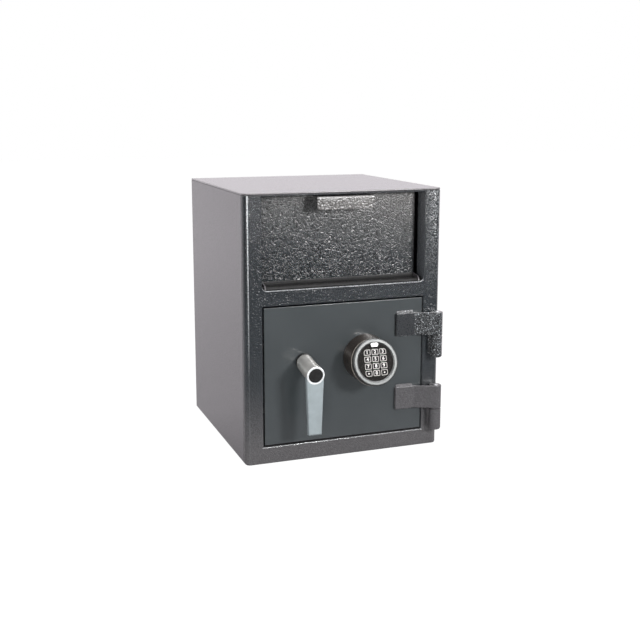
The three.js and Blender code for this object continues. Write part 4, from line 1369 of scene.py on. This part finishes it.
@dataclass
class Lever:
    """The lever handle: a drooping hub, a ringed head, a tapering blade and a black cap."""

    x: float = -74.0
    z: float = 170.0
    back: float = -175.6
    neck: float = 14.0
    neck_length: float = 6.0
    hub_rear: float = 14.3
    hub_front: float = 14.7
    hub_length: float = 50.6
    drop: float = 9.5
    head_tilt: float = 6.0
    head_radius: float = 15.2
    head_back: float = -224.2
    head_front: float = -235.2
    blade_front: float = -233.2
    blade_length: float = 100.0
    blade_end: float = 22.0
    blade_edge: float = 1.7
    cap_radius: float = 11.8
    cap_front: float = -234.8
    cap_depth: float = 2.4
    face_depth: float = 1.5
    slack: float = 0.3

    @property
    def head_z(self) -> float:
        """Height of the head's middle."""
        return self.z - self.drop

    def turned_head(self, profile: Sequence[Point]) -> Mesh:
        """Turns a profile about the head's line, which faces down a little; its front face takes number 1,
        the painted highlight, and the rest number 2.
        """
        mesh = turned(profile, Plane.XZ, (self.x, self.head_z))
        painted(mesh, 1, lambda middle, _: middle.y < self.head_front + self.face_depth, 2)
        return tipped(mesh, -self.head_tilt, self.head_front, self.head_z)

    def build(self) -> None:
        """Makes the handle and its cap."""
        front = self.head_back - 3.0
        growth = (self.hub_front - self.hub_rear) / self.hub_length
        step = self.back - self.neck_length
        profile = filleted([
            (0, self.back, 0), (self.neck, self.back, 0), (self.neck, step, 0), (self.hub_rear, step, 0.7),
            (self.hub_rear + growth * (self.back - front), front, 0), (0, front, 0),
        ], 6)
        hub = turned(profile, Plane.XZ, (self.x, self.z), 96, self.drop / self.hub_length)
        pocket_radius = self.cap_radius + self.slack
        pocket_floor = self.cap_front + self.cap_depth + self.slack
        head = self.turned_head(filleted([
            (0, self.head_back, 0), (self.head_radius, self.head_back, 1.2),
            (self.head_radius, self.head_front, 1.3), (pocket_radius, self.head_front, 0.7),
            (pocket_radius, pocket_floor, 0), (0, pocket_floor, 0),
        ], 6))
        wide, narrow = self.head_radius - 0.2, self.blade_end / 2
        foot = self.head_z - self.blade_length
        outline = filleted([
            (self.x - wide, self.head_z, 0), (self.x - narrow, foot, 1.0), (self.x + narrow, foot, 1.0),
            (self.x + wide, self.head_z, 0),
        ], 5)
        blade = prism(outline, Plane.XZ, self.blade_front, self.head_back, self.blade_edge, None, 4)
        # Painted shade: the step behind the hub takes the black cap plastic, for the shadowed gap against the
        # door.
        painted(hub, 3, lambda middle, _: middle.y > step - 0.05, 2)
        handle = combine("UNION", head, hub, painted(blade, 0))
        place(
            "lever", handle, [LEVER_METAL, LEVER_HEAD_HIGHLIGHT, LEVER_HUB_LIT, CAP_PLASTIC], "handle", "lever_handle",
            "satin_chrome", sharp=42,
        )
        cap_back = self.cap_front + self.cap_depth
        cap = self.turned_head(filleted([
            (0, cap_back, 0), (self.cap_radius, cap_back, 0), (self.cap_radius, self.cap_front, 0.6),
            (0, self.cap_front, 0),
        ], 5))
        painted(cap, 0)
        place("lever_cap", cap, CAP_PLASTIC, "handle", "handle_cap", "black_plastic")


KEY_ROWS = (("1", "2", "3"), ("4", "5", "6"), ("7", "8", "9"), ("left", "0", "right"))


@dataclass
class Keypad:
    """The round keypad: housing, bezel, pad, tab, keys and what is inside."""

    x: float = 35.76
    z: float = 168.6
    tilt: float = 15.0
    radius: float = 39.5
    back: float = -175.3
    floor: float = 3.7
    neck: float = -209.9
    housing_front: float = -216.3
    bore: float = 36.5
    cavity: float = 33.9
    cable_radius: float = 5.0
    ledge_depth: float = 2.1
    groove_width: float = 1.2
    groove_depth: float = 0.8
    front: float = -223.4
    bezel_back: float = -216.6
    pad_radius: float = 31.0
    pad_front: float = -221.4
    tab_top: float = 199.1
    tab_low: float = 193.9
    tab_reach: float = 1.6
    tab_proud: float = 2.5
    tab_half: float = 7.4
    tab_narrow: float = 1.8
    key_width: float = 12.0
    key_height: float = 9.8
    pitch_x: float = 14.0
    pitch_z: float = 11.6
    rows_drop: float = 0.4
    key_front: float = -222.6
    key_back: float = -217.4
    rim: float = 0.95
    proud: float = 0.12
    corner: float = 1.6
    outer_corner: float = 4.6
    digit_size: float = 7.6
    digit_boldness: float = 0.24
    dot_radius: float = 1.3

    def build(self) -> None:
        """Makes the keypad's pieces."""
        self.build_housing()
        self.build_bezel()
        self.build_tab()
        dress(PAD_PLASTIC, "keypad_plate", edge=0.2)
        dress(BOARD, "keypad_board", edge=0)
        dress(BATTERY, "battery", edge=1.0)
        for line, names in enumerate(KEY_ROWS):
            for column, name in enumerate(names):
                self.build_key(name, column - 1, line)

    def facing_up(self, mesh: Mesh) -> Mesh:
        """Tips an upright piece of the head the way that the head faces."""
        return tipped(mesh, self.tilt, self.housing_front, self.z)

    def build_housing(self) -> None:
        """The turned housing, with two fine grooves and a ridge between them that carries a painted
        highlight.
        """
        front = self.housing_front
        inner = self.radius - self.groove_depth
        width = self.groove_width
        outer, groove, ring, ridge = self.radius, front + width * 2, front + width * 3, front + width * 4
        ledge = front + self.ledge_depth
        inside, neck = self.back - self.floor, self.neck - 0.1
        profile = filleted([
            (self.bore, front, 0.3), (outer, front, 0.5), (outer, groove, 0.2), (inner, groove, 0.2),
            (inner, ring, 0.2), (outer, ring, 0.3), (outer, ridge, 0.2), (inner, ridge, 0.2),
            (inner, ridge + width, 0.2), (outer, ridge + width, 0.2), (outer, neck, 0),
            (outer, self.back, 0.8), (self.cable_radius, self.back, 0), (self.cable_radius, inside, 0),
            (self.cavity, inside, 0), (self.cavity, neck, 0), (self.cavity, ledge, 0), (self.bore, ledge, 0),
        ], 3)
        housing = turned(profile, Plane.XZ, (self.x, self.z), 128)

        def on_ridge(middle: Vector, _: Vector) -> bool:
            """Tells whether a face is part of the ridge with the painted highlight."""
            away = math.hypot(middle.x - self.x, middle.z - self.z)
            return front + width * 2.9 < middle.y < ridge + 0.15 and away > inner + 0.1

        painted(housing, 1, on_ridge)
        tipped(housing, self.tilt, front, self.z, lambda spot: spot.y < self.neck)
        finishes = [HOUSING, HOUSING_RING_HIGHLIGHT]
        place("keypad_body", housing, finishes, "door", "keypad_housing", "dark_housing", sharp=30)

    def build_bezel(self) -> None:
        """The plated ring round the pad, chamfered inside and rounded outside."""
        inner = self.pad_radius + 0.3
        ledge = inner - 2.6
        ledge_front = self.pad_front + 2.2
        profile = filleted([
            (inner, self.front + 1.2, 0.3), (inner + 2.4, self.front, 0.5), (self.radius, self.front, 2.6),
            (self.radius, self.bezel_back, 0.4), (ledge, self.bezel_back, 0), (ledge, ledge_front, 0),
            (inner, ledge_front, 0),
        ], 6)
        bezel = self.facing_up(turned(profile, Plane.XZ, (self.x, self.z), 128))
        place("keypad_ring", bezel, RING_METAL, "door", "keypad_bezel", "satin_chrome", sharp=30)

    def build_tab(self) -> None:
        """The bright tab over the keys, which laps over the ring's inner edge."""
        left, right = self.x - self.tab_half, self.x + self.tab_half
        top = self.tab_top + self.tab_reach
        front = self.pad_front - self.tab_proud
        crown = filleted([
            (left + self.tab_narrow, self.tab_low, 1.2), (right - self.tab_narrow, self.tab_low, 1.2),
            (right, top - 0.9, 1.0), (self.x, top + 0.6, 20.0), (left, top - 0.9, 1.0),
        ], 6)
        tab = prism(crown, Plane.XZ, front, self.pad_front - 0.1, 0.5, lambda middle: middle.y < front + 0.1)
        place("bright_tab", self.facing_up(tab), TAB_METAL, "door", "keypad_tab", "satin_chrome")

    def build_key(self, name: str, column: int, line: int) -> None:
        """One key with its printed edge and its sign."""
        x = self.x + column * self.pitch_x
        z = self.z - self.rows_drop - (line - 1.5) * self.pitch_z
        radii = [self.corner] * 4
        corners = {(-1, 3): 0, (1, 3): 1, (1, 0): 2, (-1, 0): 3}
        if (column, line) in corners:
            radii[corners[(column, line)]] = self.outer_corner

        def outline(inset: float) -> list[Point]:
            """The key's outline, drawn in by an inset."""
            half_x, half_z = self.key_width / 2 - inset, self.key_height / 2 - inset
            return rectangle(
                x - half_x, x + half_x, z - half_z, z + half_z, [radius - inset * 0.8 for radius in radii],
            )

        cap = prism(
            outline(0), Plane.XZ, self.key_front, self.key_back, 0.4,
            lambda middle: middle.y < self.key_front + 0.1,
        )
        print_front = self.key_front - self.proud
        rim = combine(
            "DIFFERENCE", prism(outline(0.2), Plane.XZ, print_front, self.key_front + 0.6),
            prism(outline(0.2 + self.rim), Plane.XZ, print_front - 1, self.key_front + 1),
        )
        sign = self.sign(name, x, z, print_front)
        key = self.facing_up(merged(painted(cap, 0), painted(rim, 1), painted(sign, 2)))
        finishes = [KEY_PLASTIC, KEY_EDGE, KEY_PRINT]
        place(f"keycap_{name}", key, finishes, f"press_{name}", f"key_{name}", "black_plastic")

    def sign(self, name: str, x: float, z: float, front: float) -> Mesh:
        """The digit, or a dot on the two outer keys."""
        if name in ("left", "right"):
            return prism(arc((x, z), self.dot_radius, 0, 360, 24)[:-1], Plane.XZ, front, self.key_front + 0.6)
        text = bpy.data.curves.new(f"digit_{name}", "FONT")
        text.body = name
        text.size = self.digit_size
        text.align_x = "CENTER"
        text.align_y = "CENTER"
        text.extrude = 0.3
        text.offset = self.digit_boldness
        text.resolution_u = 4
        holder = bpy.data.objects.new(text.name, text)
        bpy.context.scene.collection.objects.link(holder)
        graph = bpy.context.evaluated_depsgraph_get()
        mesh = bpy.data.meshes.new_from_object(holder.evaluated_get(graph))
        bpy.data.objects.remove(holder)
        digit = bmesh.new()
        digit.from_mesh(mesh)
        bmesh.ops.remove_doubles(digit, verts=digit.verts, dist=1e-4)
        upright = Matrix.Translation((x, front + 0.3, z)) @ Matrix.Rotation(math.pi / 2, 4, "X")
        bmesh.ops.transform(digit, matrix=upright, verts=digit.verts)
        return digit


LAMPS = (
    ("lamp_key", (0.62, -1.6, 0.72), (0.05, -0.15, 0.36), (0.32, 0.32), 22.0),
    ("lamp_fill", (-0.8, -1.5, 0.35), (0.1, -0.17, 0.2), (0.3, 0.3), 5.0),
    ("lamp_top", (0.25, -0.3, 2.2), (0.0, -0.05, 0.4), (1.5, 1.5), 40.0),
    ("lamp_left", (-2.2, 0.2, 1.3), (-0.1, 0.0, 0.3), (1.4, 1.6), 14.0),
)


@dataclass
class Studio:
    """Floor, background, lamps and camera."""

    azimuth: float = -20.354
    elevation: float = 10.512
    roll: float = 0.079
    distance: float = 1.8389
    target: tuple[float, float, float] = (0.02543, 0.015, 0.25389)
    focal_pixels: float = 994.11
    frame_pixels: float = 640.0
    shift_up: float = -0.05
    sensor: float = 36.0
    floor_half: float = 9.0
    floor_tone: Colour = (0.86, 0.86, 0.86)
    floor_glow: float = 0.93
    floor_level: float = 1.06
    floor_front: Point = (-0.5, 0.15)
    floor_front_level: float = 0.12
    floor_reach: Point = (0.3, 2.4)
    floor_mirror: Point = (0.74, 1.08)
    rear_glow: Point = (-0.55, 0.35)
    high_glow: Point = (0.15, 0.75)
    high_levels: Point = (0.03, 1.2)
    glow_lean: float = 0.6
    ambient: float = 0.4
    mirror_tint: Colour = (1.0, 0.955, 1.0)

    def build(self) -> None:
        """Makes the studio."""
        scene = bpy.context.scene
        scene.view_settings.view_transform = "Standard"
        self.build_camera(scene)
        self.build_world(scene)
        self.build_floor(scene)
        for name, at, to, size, power in LAMPS:
            self.lamp(name, at, to, size, power)

    def build_camera(self, scene: bpy.types.Scene) -> None:
        """The camera at the photograph's angle."""
        data = bpy.data.cameras.new("camera")
        data.sensor_width = self.sensor
        data.lens = self.focal_pixels / self.frame_pixels * self.sensor
        data.shift_y = self.shift_up
        data.clip_start = 0.05
        data.clip_end = 60.0
        camera = bpy.data.objects.new("camera", data)
        scene.collection.objects.link(camera)
        across, rise = math.radians(self.azimuth), math.radians(self.elevation)
        level = math.cos(rise)
        back = Vector((math.sin(across) * level, -math.cos(across) * level, math.sin(rise)))
        camera.location = Vector(self.target) + back * self.distance
        camera.rotation_mode = "QUATERNION"
        turn = Quaternion((0, 0, 1), math.radians(self.roll))
        camera.rotation_quaternion = (-back).to_track_quat("-Z", "Y") @ turn
        scene.camera = camera

    def build_world(self, scene: bpy.types.Scene) -> None:
        """A white surround for the eye and for gloss, and an even, softer light for the rest."""
        world = bpy.data.worlds.new("studio")
        world.use_nodes = True
        scene.world = world
        recipe = Recipe(world.node_tree)
        direction = recipe.place("Generated")
        behind = recipe.between(recipe.along("Y", direction), *self.rear_glow)
        high = recipe.along("X", direction) * self.glow_lean + recipe.along("Z", direction)
        front = recipe.between(high, *self.high_glow, *self.high_levels)
        gloss = behind + (1 - behind) * front
        camera, glossy, through = recipe.rays()
        seen = camera.largest(through)
        level = seen + glossy * (1 - seen) * gloss + (1 - seen.largest(glossy)) * self.ambient
        tint = recipe.blend(glossy * (1 - seen), WHITE, self.mirror_tint)
        surround = recipe.node("ShaderNodeBackground", inputs={"Color": tint, "Strength": level})
        recipe.node("ShaderNodeOutputWorld", inputs={"Surface": surround})

    def build_floor(self, scene: bpy.types.Scene) -> None:
        """A plain white floor that keeps a faint shadow."""
        material = bpy.data.materials.new("studio_floor")
        material.use_nodes = True
        recipe = Recipe(material.node_tree)
        camera, glossy, through = recipe.rays()
        matt = recipe.node("ShaderNodeBsdfDiffuse", inputs={"Color": self.floor_tone})
        place_on = recipe.node("ShaderNodeNewGeometry", output="Position")
        away = recipe.vector("LENGTH", place_on, output="Value")
        before = recipe.between(recipe.along("Y", place_on), *self.floor_front, self.floor_front_level)
        mirrored = recipe.between(away, *self.floor_reach, *self.floor_mirror) * before
        share = camera.largest(through) * self.floor_glow + glossy * (1 - camera)
        tint = recipe.blend(glossy * (1 - camera), WHITE, self.mirror_tint)
        level = camera * self.floor_level + (1 - camera) * mirrored
        bright = recipe.vector("SCALE", tint, level)
        white = recipe.node("ShaderNodeEmission", inputs={"Color": bright})
        both = recipe.node("ShaderNodeMixShader", inputs={0: share, 1: matt, 2: white})
        recipe.node("ShaderNodeOutputMaterial", inputs={"Surface": both})
        half = self.floor_half
        mesh = bpy.data.meshes.new("studio_floor")
        corners = [(x, y, 0.0) for x, y in ((-half, -half), (half, -half), (half, half), (-half, half))]
        mesh.from_pydata(corners, [], [(0, 1, 2, 3)])
        mesh.materials.append(material)
        floor = bpy.data.objects.new("studio_floor", mesh)
        floor.location.z = -0.0005
        scene.collection.objects.link(floor)

    def lamp(self, name: str, at: Sequence[float], to: Sequence[float], size: Point, power: float) -> None:
        """One soft rectangular lamp.

        Args:
            name: the lamp's name.
            at: where it stands, in metres.
            to: the point that it faces.
            size: its width and height in metres.
            power: its power in watts.
        """
        data = bpy.data.lights.new(name, "AREA")
        data.shape = "RECTANGLE"
        data.size, data.size_y = size
        data.energy = power
        lamp = bpy.data.objects.new(name, data)
        bpy.context.scene.collection.objects.link(lamp)
        lamp.location = at
        lamp.rotation_mode = "QUATERNION"
        lamp.rotation_quaternion = (Vector(to) - Vector(at)).to_track_quat("-Z", "Y")


def main() -> None:
    """Builds every assembly, then the studio."""
    logging.basicConfig(level=logging.INFO, format="%(name)s: %(message)s")
    hinges = (
        Hinge("upper", 159.7, HAMMERED, HAMMERED_CALM), Hinge("lower", 30.2, HINGE_ENAMEL, HINGE_ENAMEL),
    )
    assemblies = (Carcass(), Hopper(), Door(), *hinges, BoltWork(), Lever(), Keypad(), Studio())
    for assembly in assemblies:
        log.info("building %s", type(assembly).__name__)
        assembly.build()


if __name__ == "__main__":
    main()
